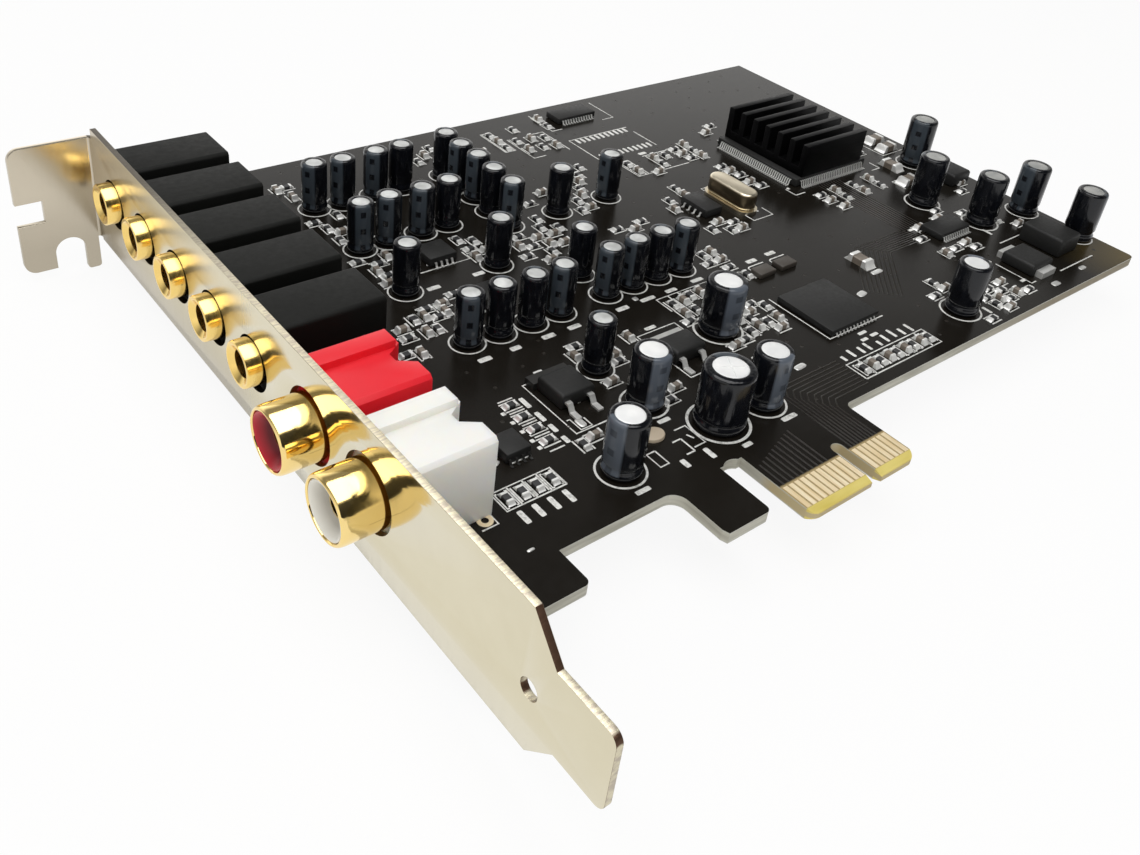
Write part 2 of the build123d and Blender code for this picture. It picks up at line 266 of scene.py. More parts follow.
def turnedPiece(name, profile, sides, material, matrix):
    points, faces = lathe(profile, sides)
    mesh = meshFrom(name, [matrix @ Vector(point) for point in points], faces)
    outward(mesh)
    soften(mesh)
    return makeObject(name, mesh, material)


def joined(parts):
    points, faces = [], []
    for morePoints, moreFaces in parts:
        shift = len(points)
        points += [tuple(point) for point in morePoints]
        faces += [tuple(i + shift for i in face) for face in moreFaces]
    return points, faces


def dressed(node, name, material, slot, width, segments=2):
    # a copy of a CAD node with merged points, flat faces joined and edges rounded over width, in mm
    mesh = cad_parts[node].data.copy()
    work = bmesh.new()
    work.from_mesh(mesh)
    bmesh.ops.remove_doubles(work, verts=work.verts, dist=edges["mergeWithin"])
    flat = math.radians(edges["flatWithin"])
    bmesh.ops.dissolve_limit(work, angle_limit=flat, verts=work.verts, edges=work.edges)
    work.to_mesh(mesh)
    work.free()
    thing = makeObject(name + "Start", mesh)
    thing.matrix_world = Matrix.Identity(4)
    bevel = thing.modifiers.new("edges", "BEVEL")
    bevel.width = width * mm
    bevel.segments = segments
    bevel.limit_method = "ANGLE"
    bevel.angle_limit = math.radians(edges["bevelAbove"])
    piece = settled(thing, name, material)
    soften(piece.data)
    return finishPiece(piece, slot, node)


def islands(node):
    # (low corner, high corner) in mm of each separate solid of a CAD node
    work = bmesh.new()
    work.from_mesh(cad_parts[node].data)
    bmesh.ops.remove_doubles(work, verts=work.verts, dist=edges["mergeWithin"])
    seen, boxes = set(), []
    for start in work.verts:
        if start in seen:
            continue
        seen.add(start)
        stack, corners = [start], []
        while stack:
            vert = stack.pop()
            corners.append(vert.co / mm)
            for edge in vert.link_edges:
                other = edge.other_vert(vert)
                if other not in seen:
                    seen.add(other)
                    stack.append(other)
        low = [min(corner[i] for corner in corners) for i in range(3)]
        high = [max(corner[i] for corner in corners) for i in range(3)]
        boxes.append((low, high))
    work.free()
    return sorted(boxes)


def middles(node):
    # (x, y) in mm of the middle of each separate solid of a CAD node
    return [((low[0] + high[0]) / 2, (low[1] + high[1]) / 2) for low, high in islands(node)]


def centre(node):
    # middle, low corner and high corner of a whole CAD node, in mm
    low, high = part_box(node)
    return (low + high) / 2 / mm, low / mm, high / mm


def startTree(name, inputs):
    tree = bpy.data.node_groups.new(name, "GeometryNodeTree")
    tree.interface.new_socket("Geometry", in_out="INPUT", socket_type="NodeSocketGeometry")
    for label, kind, value in inputs:
        socket = tree.interface.new_socket(label, in_out="INPUT", socket_type=kind)
        if value is not None:
            socket.default_value = value
    tree.interface.new_socket("Geometry", in_out="OUTPUT", socket_type="NodeSocketGeometry")
    maker = Maker(tree)
    start = tree.nodes.new("NodeGroupInput")
    ends = {output.name: Signal(maker, output) for output in start.outputs if output.name}
    return tree, maker, ends


def endTree(maker, shape, material):
    whole = maker.node("GeometryNodeRealizeInstances", {}, {0: shape})
    painted = maker.node("GeometryNodeSetMaterial", {}, {"Geometry": whole, "Material": material})
    maker.node("NodeGroupOutput", {}, {0: painted})


def standTree():
    # stands a copy of one prototype at every point, turned and sized by the point's own values
    inputs = [
        ("Prototype", "NodeSocketObject", None),
        ("Material", "NodeSocketMaterial", None),
        ("Turn spread", "NodeSocketFloat", 0.0),
        ("Lean", "NodeSocketFloat", 0.0),
        ("Seed", "NodeSocketInt", 1),
    ]
    tree, maker, ends = startTree("standAtPoints", inputs)
    asked = {"transform_space": "ORIGINAL"}
    shape = maker.node("GeometryNodeObjectInfo", asked, {"Object": ends["Prototype"]}, "Geometry")
    turn = maker.node("GeometryNodeInputNamedAttribute", {"data_type": "FLOAT"}, {"Name": "turn"})
    size = maker.node("GeometryNodeInputNamedAttribute", {"data_type": "FLOAT_VECTOR"}, {"Name": "grow"})

    def chance(amount, shift):
        # sockets 2 and 3 are the range of a plain number and 8 the seed
        sockets = {2: amount * -1.0, 3: amount, 8: ends["Seed"] + shift}
        return maker.node("FunctionNodeRandomValue", {"data_type": "FLOAT"}, sockets, 1)

    turned = turn + chance(ends["Turn spread"], 0.0)
    angles = {0: chance(ends["Lean"], 1.0), 1: chance(ends["Lean"], 2.0), 2: turned}
    rotation = maker.node("ShaderNodeCombineXYZ", {}, angles)
    sockets = {"Points": ends["Geometry"], "Instance": shape, "Rotation": rotation, "Scale": size}
    endTree(maker, maker.node("GeometryNodeInstanceOnPoints", {}, sockets), ends["Material"])
    return tree


def ribbonTree():
    # a flat strip along every edge path of the host
    inputs = [("Material", "NodeSocketMaterial", None), ("Width", "NodeSocketFloat", 0.2 * mm),
              ("Height", "NodeSocketFloat", 0.03 * mm)]
    tree, maker, ends = startTree("ribbonAlongPath", inputs)
    path = maker.node("GeometryNodeMeshToCurve", {}, {"Mesh": ends["Geometry"]})
    path = maker.node("GeometryNodeSetCurveNormal", {"mode": "Z_UP"}, {"Curve": path})
    sockets = {"Width": ends["Width"], "Height": ends["Height"]}
    section = maker.node("GeometryNodeCurvePrimitiveQuadrilateral", {"mode": "RECTANGLE"}, sockets)
    sockets = {"Curve": path, "Profile Curve": section, "Fill Caps": True}
    endTree(maker, maker.node("GeometryNodeCurveToMesh", {}, sockets), ends["Material"])
    return tree


def runTree(host, tree, values):
    modifier = host.modifiers.new("shape", "NODES")
    modifier.node_group = tree
    for item in tree.interface.items_tree:
        if item.item_type == "SOCKET" and item.in_out == "INPUT" and item.name in values:
            modifier[item.identifier] = values[item.name]
    return host


trees = {"stand": standTree(), "ribbon": ribbonTree()}
prototypes = []


def prototype(name, points, faces):
    # a shape that is stood at many places and keeps its own coordinates, in mm, on its points
    mesh = meshFrom(name, points, faces)
    outward(mesh)
    soften(mesh)
    own = mesh.attributes.new("ownPlace", "FLOAT_VECTOR", "POINT")
    for i, vertex in enumerate(mesh.vertices):
        own.data[i].vector = vertex.co / mm
    thing = makeObject(name, mesh)
    prototypes.append(thing)
    return thing


def stand(name, shape, places, material, slot, nodes=(), spread=0.0, lean=0.0, seed=1):
    # places are (x, y, z, turn in degrees, sizes along the prototype's own X, Y and Z)
    mesh = meshFrom(name + "Points", [place[:3] for place in places], [])
    turn = mesh.attributes.new("turn", "FLOAT", "POINT")
    grow = mesh.attributes.new("grow", "FLOAT_VECTOR", "POINT")
    for i, place in enumerate(places):
        turn.data[i].value = math.radians(place[3] if len(place) > 3 else 0)
        grow.data[i].vector = place[4:7] if len(place) > 4 else (1, 1, 1)
    host = makeObject(name + "Host", mesh)
    values = {"Prototype": shape, "Material": material, "Turn spread": math.radians(spread),
              "Lean": math.radians(lean), "Seed": seed}
    piece = settled(runTree(host, trees["stand"], values), name)
    return finishPiece(piece, slot, *nodes)


def ribbons(name, paths, material, slot, width, height):
    points, lines = [], []
    for path in paths:
        first = len(points)
        points += path
        lines += [(i, i + 1) for i in range(first, len(points) - 1)]
    host = makeObject(name + "Host", meshFrom(name + "Path", points, [], lines))
    values = {"Material": material, "Width": width * mm, "Height": height * mm}
    piece = settled(runTree(host, trees["ribbon"], values), name)
    return finishPiece(piece, slot)


studio = {
    "cameraPlace": (-0.10208445, -0.05057493, 0.08852793),
    "cameraTurn": (57.72934687, -6.25543561, -38.93711844),
    "lens": 35.2528,
    "sensor": 36.0,
    "shift": (0.0, -0.12),
    "clip": (0.005, 20.0),
    # lamp and cards: sizes along X and Y and places in m, counted from between the phono barrels
    "barrels": (-0.060, 0.032, 0.006),
    "keyPower": 1.70,       # watts
    "keySize": (0.46, 0.61),
    "keyPlace": (-0.03, -0.036, 0.45),
    "faceGlow": 3.4,        # what polished metal shows of the lamp's face beyond its light
    "faceGap": 0.004,
    "endFlagSize": (0.45, 0.75),
    "endFlagPlace": (0.425, -0.08, 0.44),
    "flagSize": (0.64, 0.36),
    "flagPlace": (0.0, -0.362, 0.225),
    "cardGrey": 0.01,
    # the sky's plain level, and the direction along X and Y and the extra level of its two bright parts
    "sky": 0.27,
    "farLeft": (0.34, 0.94, 1.25),
    "besideCamera": (-0.80, -0.60, 0.80),
    "skyColour": (1.0, 0.99, 0.97),
    "floorRadius": 2500,    # mm
    "floorHeight": -8.46,   # just under the bracket's lower edge
    "floorColour": (0.90, 0.895, 0.88),
    "floorWhite": 0.91,     # share of plain white that camera and reflections see
}


def makeCamera():
    data = bpy.data.cameras.new("photoCamera")
    data.lens = studio["lens"]
    data.sensor_width = studio["sensor"]
    data.sensor_fit = "HORIZONTAL"
    data.shift_x, data.shift_y = studio["shift"]
    data.clip_start, data.clip_end = studio["clip"]
    camera = bpy.data.objects.new("photoCamera", data)
    bpy.context.scene.collection.objects.link(camera)
    camera.location = studio["cameraPlace"]
    camera.rotation_euler = Euler([math.radians(angle) for angle in studio["cameraTurn"]])
    bpy.context.scene.camera = camera


def makeSky():
    # A pale studio: bright low behind the far left corner and beside the camera, dim overhead.
    world = bpy.data.worlds.new("studioSky")
    bpy.context.scene.world = world
    world.use_nodes = True
    world.node_tree.nodes.clear()
    maker = Maker(world.node_tree)
    x, y, z = maker.split(maker.node("ShaderNodeTexCoord", {}, {}, "Generated"))
    flat = ((x * x + y * y) ** 0.5).largest(0.01)
    farX, farY, farGlow = studio["farLeft"]
    nearX, nearY, nearGlow = studio["besideCamera"]
    farLeft = ((x * farX + y * farY) / flat).ramp(0.50, 0.94)
    glow = z.ramp(0.60, 0.36) * farLeft
    nearLeft = ((x * nearX + y * nearY) / flat).ramp(0.20, 0.90)
    beside = z.ramp(0.85, 0.35) * nearLeft
    level = studio["sky"] + farGlow * glow + nearGlow * beside
    sockets = {"Color": (*studio["skyColour"], 1.0), "Strength": level}
    background = maker.node("ShaderNodeBackground", {}, sockets)
    maker.node("ShaderNodeOutputWorld", {}, {"Surface": background})


def makeFloor():
    height = studio["floorHeight"]
    points, faces = lathe([(studio["floorRadius"], height), (0, height)], 64)
    floor = makeObject("floor", meshFrom("floor", points, faces))
    material, maker = startMaterial("paperWhite")
    sockets = {"Base Color": (*studio["floorColour"], 1.0), "Roughness": 0.9}
    paper = maker.node("ShaderNodeBsdfPrincipled", {}, sockets)
    white = maker.node("ShaderNodeEmission", {}, {"Color": (1.0, 1.0, 1.0, 1.0), "Strength": 1.0})
    rays = maker.node("ShaderNodeLightPath")
    outputs = rays.socket.node.outputs
    seen = Signal(maker, outputs["Is Camera Ray"]).largest(Signal(maker, outputs["Is Glossy Ray"]))
    seen = seen.largest(Signal(maker, outputs["Is Transmission Ray"]))
    shown = maker.node("ShaderNodeMixShader", {}, {0: seen * studio["floorWhite"], 1: paper, 2: white})
    maker.node("ShaderNodeOutputMaterial", {}, {"Surface": shown})
    floor.data.materials.append(material)
    floor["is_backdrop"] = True


def makeLamp(name, power, size, place):
    # a lamp that shines straight down
    data = bpy.data.lights.new(name, "AREA")
    data.shape = "RECTANGLE"
    data.size, data.size_y = size
    data.energy = power
    lamp = bpy.data.objects.new(name, data)
    bpy.context.scene.collection.objects.link(lamp)
    lamp.location = place


def makeCard(name, size, place, facing, glow=0.0):
    # a card near the lamp, dark or glowing, that only reflections show
    wide, high = [side / 2 * 1000 for side in size]
    points = [(-wide, -high, 0), (wide, -high, 0), (wide, high, 0), (-wide, high, 0)]
    card = makeObject(name, meshFrom(name, points, [(0, 1, 2, 3)]))
    material, maker = startMaterial(name + "Paper")
    grey = studio["cardGrey"]
    steady = {"Emission Color": (1.0, 1.0, 1.0, 1.0), "Emission Strength": glow}
    finishMaterial(maker, (grey, grey, grey), 1.0, steady=steady)
    card.data.materials.append(material)
    card.location = place
    card.rotation_euler = Vector(facing).to_track_quat("-Z", "Y").to_euler()
    card.visible_camera = False
    card.visible_diffuse = False
    card.visible_shadow = False
    card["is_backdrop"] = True


makeCamera()
makeSky()
makeFloor()
barrels = Vector(studio["barrels"])
keyPlace = barrels + Vector(studio["keyPlace"])
makeLamp("keyLamp", studio["keyPower"], studio["keySize"], keyPlace)
makeCard("sideFlag", studio["flagSize"], barrels + Vector(studio["flagPlace"]), (0, 1, 0))
makeCard("endFlag", studio["endFlagSize"], barrels + Vector(studio["endFlagPlace"]), (0, 0, -1))
facePlace = keyPlace - Vector((0, 0, studio["faceGap"]))
makeCard("lampFace", studio["keySize"], facePlace, (0, 0, -1), studio["faceGlow"])
print("studio ready")


boardLook = {
    # a pair of colours is a cloudy or streaked tone from one to the other
    "mask": ((0.0098, 0.0082, 0.0062), (0.0135, 0.0116, 0.0092)),
    "farCorner": (0.120, 0.088, 0.030),
    "bare": (0.44, 0.335, 0.17),
    "laminate": ((0.40, 0.39, 0.33), (0.56, 0.55, 0.48)),
    "farLaminate": (0.27, 0.235, 0.17),
    "connectorEdge": (0.52, 0.43, 0.25),
    "rim": (0.55, 0.55, 0.50),
    "tip": ((0.66, 0.53, 0.12), (0.84, 0.72, 0.26)),
    # where each tone starts and where it is whole, m; off middle is counted from the board's middle
    "tipAlongY": (0.00125, 0.0011),
    "tipOffMiddle": (0.00030, 0.00042),
    "bareAlongY": (0.0056, 0.0053),
    "bareAlongX": (-0.0126, -0.0124),
    "cornerAlongX": (0.074, 0.087),
    "cornerAlongY": (0.026, 0.013),
    "farAlongX": (0.030, 0.060),
    "connectorAlongY": (0.0085, 0.0065),
    "connectorStart": (-0.0130, -0.0126),
    "connectorEnd": (0.0095, 0.0085),
    "rimOffMiddle": (0.00060, 0.00072),
    "shine": 0.18,
}


def boardMask():
    # near-black mask on top and below, bare glass laminate on the cut edges and between the gold fingers
    look = boardLook
    material, maker = startMaterial("boardMask")
    nx, ny, nz = maker.split(maker.normal())
    x, y, z = maker.split(maker.place())
    side = abs(nz).ramp(0.6, 0.3)
    tip = y.ramp(*look["tipAlongY"]) * abs(z).ramp(*look["tipOffMiddle"])     # the connector's slanted end
    bare = y.ramp(*look["bareAlongY"]) * x.ramp(*look["bareAlongX"])          # between the fingers
    cloud = maker.grain(60.0, 3.0)
    weave = maker.grain(900.0, 2.0)
    mask = maker.mix(cloud.ramp(0.35, 0.7), *look["mask"])
    corner = x.ramp(*look["cornerAlongX"]) * y.ramp(*look["cornerAlongY"])
    mask = maker.mix(corner * 0.8, mask, look["farCorner"])
    mask = maker.mix(bare, mask, look["bare"])
    layers = maker.grain(1500.0, 2.0, (0.08, 0.08, 1.0))
    laminate = maker.mix(layers.ramp(0.35, 0.65), *look["laminate"])
    laminate = maker.mix(x.ramp(*look["farAlongX"]), laminate, look["farLaminate"])
    connector = y.ramp(*look["connectorAlongY"]) * x.ramp(*look["connectorStart"])
    connector = connector * x.ramp(*look["connectorEnd"])
    laminate = maker.mix(connector, laminate, look["connectorEdge"])
    laminate = maker.mix(abs(z).ramp(*look["rimOffMiddle"]), laminate, look["rim"])
    colour = maker.mix(side, mask, laminate)
    colour = maker.mix(tip, colour, maker.mix(layers.ramp(0.3, 0.7), *look["tip"]))
    rough = 0.20 + 0.04 * weave.ramp(0.3, 0.7) + 0.35 * side
    finishMaterial(maker, colour, rough, 0.0, 0.25 * weave + 0.8 * cloud, 0.012, gloss(look["shine"]))
    return material


def plate(name, colour, darker, rough, cloudScale=140.0, scratch=(0.15, 1.0, 1.0), depth=0.003, metal=1.0):
    # plated metal with a cloudy tone and fine polishing marks
    material, maker = startMaterial(name)
    cloud = maker.grain(cloudScale, 3.0)
    marks = maker.grain(2600.0, 3.0, scratch)
    tone = maker.mix(cloud.ramp(0.3, 0.72), colour, darker)
    finishMaterial(maker, tone, rough + 0.08 * marks.ramp(0.35, 0.8) + 0.05 * cloud, metal, marks, depth)
    return material


bracketLook = {
    "plate": ((0.72, 0.665, 0.50), (0.66, 0.60, 0.435)),
    # upper: painted shade of the reflection, darker towards the upper end
    "upper": (0.54, 0.475, 0.395),
    # low: painted shade, darker towards the bottom beside the sockets
    "low": (0.40, 0.355, 0.275),
    "sheared": (0.52, 0.46, 0.37),
    "lowerEdge": (0.13, 0.075, 0.050),
    "backEdge": (0.05, 0.04, 0.03),
    # each hole: the node in it, its radius and how far it sits below the socket's axis, both in mm,
    # and its wall's painted light: painted shade for the jacks, a painted reflection of the gold barrel for
    # the phono sockets
    "holes": [(f"jack_bushing_{number}", 3.7, 0.45, (0.010, 0.008, 0.006)) for number in range(1, 6)]
    + [(f"phono_shell_{colour}", 4.8, 0.0, (0.22, 0.13, 0.04)) for colour in ("white", "red")],
    "wallGap": (0.16, 0.06),    # mm outside a hole's radius
    # where each tone starts and where it is whole, m
    "edgeAlongX": (-0.05675, -0.05668),
    "upperAlongY": (0.080, 0.104),
    "middleAlongY": (0.050, 0.085),
    "socketedAlongY": (0.043, 0.056),
    "lowAlongZ": (0.006, -0.0035),
    "shine": 0.12,
}


def bracketNickel():
    # bright plated sheet; the sheared edges are dull, those turned to the slot end are darker,
    # and the upward ones in the middle are near black and barely metallic; painted shade darkens the upper
    # end, the lower part beside the sockets and the jacks' hole walls, and the phono holes' walls carry a
    # painted reflection of the gold barrels
    look = bracketLook
    material, maker = startMaterial("bracketNickel")
    nx, ny, nz = maker.split(maker.normal())
    x, y, z = maker.split(maker.place())
    sheared = abs(nx).ramp(0.75, 0.4) * x.ramp(*look["edgeAlongX"])
    lower = sheared * (0.0 - ny).ramp(0.35, 0.55) * (0.0 - ny).ramp(0.98, 0.94)
    upper = y.ramp(*look["upperAlongY"])
    middle = y.ramp(*look["middleAlongY"])
    socketed = y.ramp(*look["socketedAlongY"])
    beside = nz.ramp(0.3, 0.7) * sheared
    cloud = maker.grain(55.0, 4.0, None, 0.6)
    marks = maker.grain(2200.0, 3.0, (1.0, 1.0, 0.12))
    fine = maker.grain(3600.0, 1.0, (0.2, 1.0, 0.5))
    tone = maker.mix(cloud.ramp(0.3, 0.75), *look["plate"])
    # painted shade of the reflection: darker towards the upper end
    tone = maker.mix(upper * 0.7, tone, look["upper"])
    # painted shade: darker towards the bottom beside the sockets
    tone = maker.mix(socketed * z.ramp(*look["lowAlongZ"]) * 0.75, tone, look["low"])
    tone = maker.mix(sheared * fine.ramp(0.42, 0.60), tone, look["sheared"])
    tone = maker.mix(lower, tone, look["lowerEdge"])
    tone = maker.mix(beside * middle * 0.9, tone, look["backEdge"])
    # painted shade on the jacks' hole walls and a painted reflection of the gold barrel on the phono holes'
    # walls
    for node, radius, drop, wallShadeAndReflection in look["holes"]:
        hole = centre(node)[0]
        across, up = y - hole.y * mm, z - (hole.z - drop) * mm
        start, whole = [(radius + gap) * mm for gap in look["wallGap"]]
        wall = ((across * across + up * up) ** 0.5).ramp(start, whole)
        tone = maker.mix(wall * abs(nx).ramp(0.9, 0.6), tone, wallShadeAndReflection)
    rough = 0.075 + 0.05 * marks.ramp(0.35, 0.8) + 0.03 * cloud + 0.38 * sheared
    rough = rough + (0.17 * socketed + 0.03) * abs(nx) + 0.11 * upper * abs(ny)
    metal = 1.0 - 0.95 * beside * middle
    height = marks * 0.06 + sheared * fine
    finishMaterial(maker, tone, rough, metal, height, 0.04, {"Specular IOR Level": look["shine"]})
    return material


def moulded(name, colour, paler, rough, depth=0.01, scale=900.0, subsurface=0.0, specular=0.5):
    material, maker = startMaterial(name)
    fine = maker.grain(scale, 3.0)
    cloud = maker.grain(90.0, 2.0)
    tone = maker.mix(cloud.ramp(0.3, 0.7), colour, paler)
    steady = gloss(specular)
    if subsurface:
        steady["Subsurface Weight"] = subsurface
        steady["Subsurface Radius"] = (1.0, 0.8, 0.6)
        steady["Subsurface Scale"] = 2 * mm
    finishMaterial(maker, tone, rough + 0.1 * fine.ramp(0.3, 0.7), 0.0, fine, depth, steady)
    return material


def contactGold():
    # thin plating that is rubbed and streaked towards the tip
    material, maker = startMaterial("contactGold")
    x, y, z = maker.split(maker.place())
    streak = maker.grain(700.0, 3.0, (3.0, 0.25, 1.0))
    tone = maker.mix(streak.ramp(0.35, 0.65), (0.84, 0.66, 0.38), (0.95, 0.83, 0.60))
    unworn = y.ramp(0.0036, 0.0052)
    tone = maker.mix(unworn, tone, (0.90, 0.76, 0.52))
    finishMaterial(maker, tone, 0.40 + 0.1 * streak, 0.55, streak, 0.008)
    return material


def crystalMetal():
    # drawn can with a pale top and rim; painted shade of dark reflections darkens its walls
    material, maker = startMaterial("crystalMetal")
    nx, ny, nz = maker.split(maker.normal())
    x, y, z = maker.split(maker.place())
    cloud = maker.grain(300.0, 3.0)
    tone = maker.mix(cloud.ramp(0.3, 0.72), (0.74, 0.67, 0.52), (0.62, 0.55, 0.42))
    # painted shade: the side walls darker, standing in for dark reflections
    walls = nz.ramp(0.72, 0.30) * z.ramp(0.0016, 0.0020)
    tone = maker.mix(walls * 0.85, tone, (0.17, 0.12, 0.065))
    finishMaterial(maker, tone, 0.26 + 0.08 * cloud, 1.0, cloud, 0.003)
    return material


def tabTin():
    # the regulators' tabs: the one nearer to the bracket is much darker
    material, maker = startMaterial("tabTin")
    x, y, z = maker.split(maker.place())
    cloud = maker.grain(500.0, 3.0)
    tone = maker.mix(cloud.ramp(0.3, 0.7), (0.66, 0.66, 0.63), (0.52, 0.52, 0.50))
    nearBracket = x.ramp(-0.014, -0.016)
    tone = maker.mix(nearBracket, tone, (0.045, 0.044, 0.042))
    finishMaterial(maker, tone, 0.34 + 0.08 * cloud, 0.7, cloud, 0.004)
    return material


filmLook = {
    "film": ((0.0036, 0.0040, 0.0056), (0.0065, 0.0075, 0.0105)),
    "stripeEdge": (0.78, 0.86),     # share of the radius on the stripe's side
    "stripeFoot": (0.9, 1.1),       # mm above the board
    "dashAcross": (0.24, 0.16),     # share of the radius
    "dashes": 0.36,                 # for each mm
    "dashEnds": (0.20, 0.14),       # share of the dashes' pitch
}


def sleeveFilm(name, stripeColour, dashDepth):
    # shrunk film: blue-black and glossy, with a paler stripe down one side and its dashes
    look = filmLook
    material, maker = startMaterial(name)
    x, y, z = maker.split(maker.local())
    radius = ((x * x + y * y) ** 0.5).largest(0.1)
    across = y / radius
    stripe = (x / radius).ramp(*look["stripeEdge"]) * z.ramp(*look["stripeFoot"])
    fromMiddle = abs((z * look["dashes"]).stripes() - 0.5)
    dash = abs(across).ramp(*look["dashAcross"]) * fromMiddle.ramp(*look["dashEnds"]) * dashDepth
    fold = maker.grain(1.3, 2.0, (1.0, 1.0, 0.3), 0.5, maker.local())
    crease = maker.grain(3.4, 1.0, (1.0, 1.0, 0.16), 0.5, maker.local())
    film = maker.mix(fold.ramp(0.3, 0.7), *look["film"])
    film = maker.mix(stripe * (1.0 - dash), film, stripeColour)
    finishMaterial(maker, film, 0.10 + 0.09 * fold, 0.0, fold + crease * 0.35, 0.05, gloss(0.4))
    return material


def canAluminium(name, tones):
    # pressed tops with faint turning marks
    material, maker = startMaterial(name)
    x, y, z = maker.split(maker.local())
    rings = ((((x * x + y * y) ** 0.5) * 9.0).sine() + 1.0) * 0.5
    cloud = maker.grain(420.0, 2.0)
    tone = maker.mix(cloud.ramp(0.3, 0.7), *tones)
    finishMaterial(maker, tone, 0.38 + 0.12 * cloud, 0.35, rings + cloud, 0.004)
    return material


def solderedPart(name, body, paler):
    # a small surface part: its own coordinates tell the tinned ends from the body
    material, maker = startMaterial(name)
    x, y, z = maker.split(maker.local())
    ends = abs(x).ramp(0.275, 0.285)
    cloud = maker.grain(900.0, 2.0)
    tone = maker.mix(cloud.ramp(0.3, 0.7), body, paler)
    tone = maker.mix(ends, tone, (0.86, 0.86, 0.84))
    finishMaterial(maker, tone, 0.42 - 0.10 * ends + 0.08 * cloud, 0.45 * ends, cloud, 0.01)
    return material


def insertPlastic(name, colour, sunk):
    # the sockets' coloured inserts, dull, with painted shade deepening towards the centre hole
    material, maker = startMaterial(name)
    x, y, z = maker.split(maker.place())
    fine = maker.grain(700.0, 2.0)
    # painted shade deeper in the insert
    inside = x.ramp(-0.0617, -0.0604)
    tone = maker.mix(inside, colour, sunk)
    finishMaterial(maker, tone, 0.34 + 0.1 * fine, 0.0, fine, 0.004, gloss(0.35))
    return material


def ceramic(name, colour, paler):
    return moulded(name, colour, paler, 0.42, 0.02, 1600.0)


def silkWhite():
    # printed ink: thin in places
    material, maker = startMaterial("silkWhite")
    wear = maker.grain(1800.0, 3.0)
    tone = maker.mix(wear.ramp(0.28, 0.5), (0.42, 0.42, 0.40), (0.80, 0.80, 0.77))
    finishMaterial(maker, tone, 0.55, 0.0, wear, 0.01)
    return material


def traceMask():
    # copper under the mask: a little browner and raised
    material, maker = startMaterial("traceMask")
    cloud = maker.grain(300.0, 2.0)
    tone = maker.mix(cloud.ramp(0.3, 0.7), (0.0150, 0.0128, 0.0098), (0.0200, 0.0165, 0.0125))
    finishMaterial(maker, tone, 0.26 + 0.1 * cloud, 0.0, cloud, 0.01, gloss(0.24))
    return material


paint = {
    "board": boardMask(),
    "nickel": bracketNickel(),
    "steel": plate("fixingSteel", (0.62, 0.61, 0.59), (0.52, 0.51, 0.49), 0.30),
    "gold": plate("goldPlate", (0.95, 0.73, 0.31), (0.92, 0.68, 0.27), 0.05, 160.0, (1.0, 0.3, 0.3), 0.001),
    "fingers": contactGold(),
    "tab": tabTin(),
    "tin": plate("pinTin", (0.74, 0.74, 0.72), (0.60, 0.60, 0.58), 0.28, 700.0),
    "crystal": crystalMetal(),
    "jack": moulded("jackPlastic", (0.0058, 0.0060, 0.0052), (0.0085, 0.0088, 0.0078), 0.50, 0.02, 1300.0,
                    specular=0.12),
    "white": moulded("whitePlastic", (0.975, 0.955, 0.87), (0.985, 0.972, 0.91), 0.32, 0.004, 500.0, 0.7),
    "red": moulded("redPlastic", (0.84, 0.012, 0.026), (0.90, 0.018, 0.032), 0.32, 0.004, 500.0, 0.1, 0.3),
    "whiteInsert": insertPlastic("whiteInsert", (0.84, 0.82, 0.75), (0.50, 0.475, 0.42)),
    "redInsert": insertPlastic("redInsert", (0.50, 0.011, 0.024), (0.13, 0.003, 0.008)),
    "ring": plate("ringGold", (0.93, 0.68, 0.24), (0.90, 0.63, 0.20), 0.13, 160.0, (1.0, 0.3, 0.3), 0.002),
    "cooler": plate("coolerBlack", (0.006, 0.006, 0.0065), (0.010, 0.010, 0.0105), 0.46, 200.0),
    "chip": moulded("chipPlastic", (0.013, 0.013, 0.0125), (0.018, 0.018, 0.0175), 0.46, 0.02, 1900.0,
                    specular=0.25),
    "sleeve": sleeveFilm("sleeveBlack", (0.050, 0.062, 0.075), 0.95),
    "striped": sleeveFilm("sleeveStriped", (0.105, 0.122, 0.150), 0.45),
    "can": canAluminium("canAluminium", ((0.82, 0.83, 0.83), (0.92, 0.92, 0.91))),
    "paleCan": canAluminium("paleAluminium", ((0.44, 0.45, 0.44), (0.74, 0.75, 0.74))),
    # the far cans' tops: the aluminium painted darker as painted shade, for the light's falloff there
    "dullCan": canAluminium("dullAluminium", ((0.32, 0.33, 0.32), (0.50, 0.50, 0.48))),
    "brown": ceramic("ceramicBrown", (0.050, 0.042, 0.034), (0.075, 0.064, 0.052)),
    "tan": ceramic("ceramicTan", (0.44, 0.36, 0.26), (0.56, 0.47, 0.35)),
    "silk": silkWhite(),
    "solder": plate("solderTin", (0.84, 0.84, 0.82), (0.70, 0.70, 0.68), 0.26, 700.0, (1.0, 1.0, 1.0), 0.006,
                    metal=0.6),
    "resistor": solderedPart("resistorBlack", (0.014, 0.014, 0.015), (0.022, 0.022, 0.024)),
    "condenser": solderedPart("condenserTan", (0.15, 0.125, 0.10), (0.22, 0.185, 0.15)),
    "trace": traceMask(),
}


# the CAD nodes that keep their own mesh, each with its finish
coats = {
    "board": "board", "edge_contacts": "fingers", "bracket_feet": "nickel", "bracket_screws": "steel",
    "jack_pins": "tin", "phono_pins": "tin", "regulator_tabs": "tab", "diode_ends": "solder",
    "crystal_rim": "crystal", "phono_contact_white": "gold", "phono_contact_red": "gold",
}
for node, finish in coats.items():
    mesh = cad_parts[node].data
    mesh.materials.clear()
    mesh.materials.append(paint[finish])
print("materials ready")


bracketEdge = 0.10      # mm
dressed("bracket", "bracketSheet", paint["nickel"], "bracket_nickel", bracketEdge)

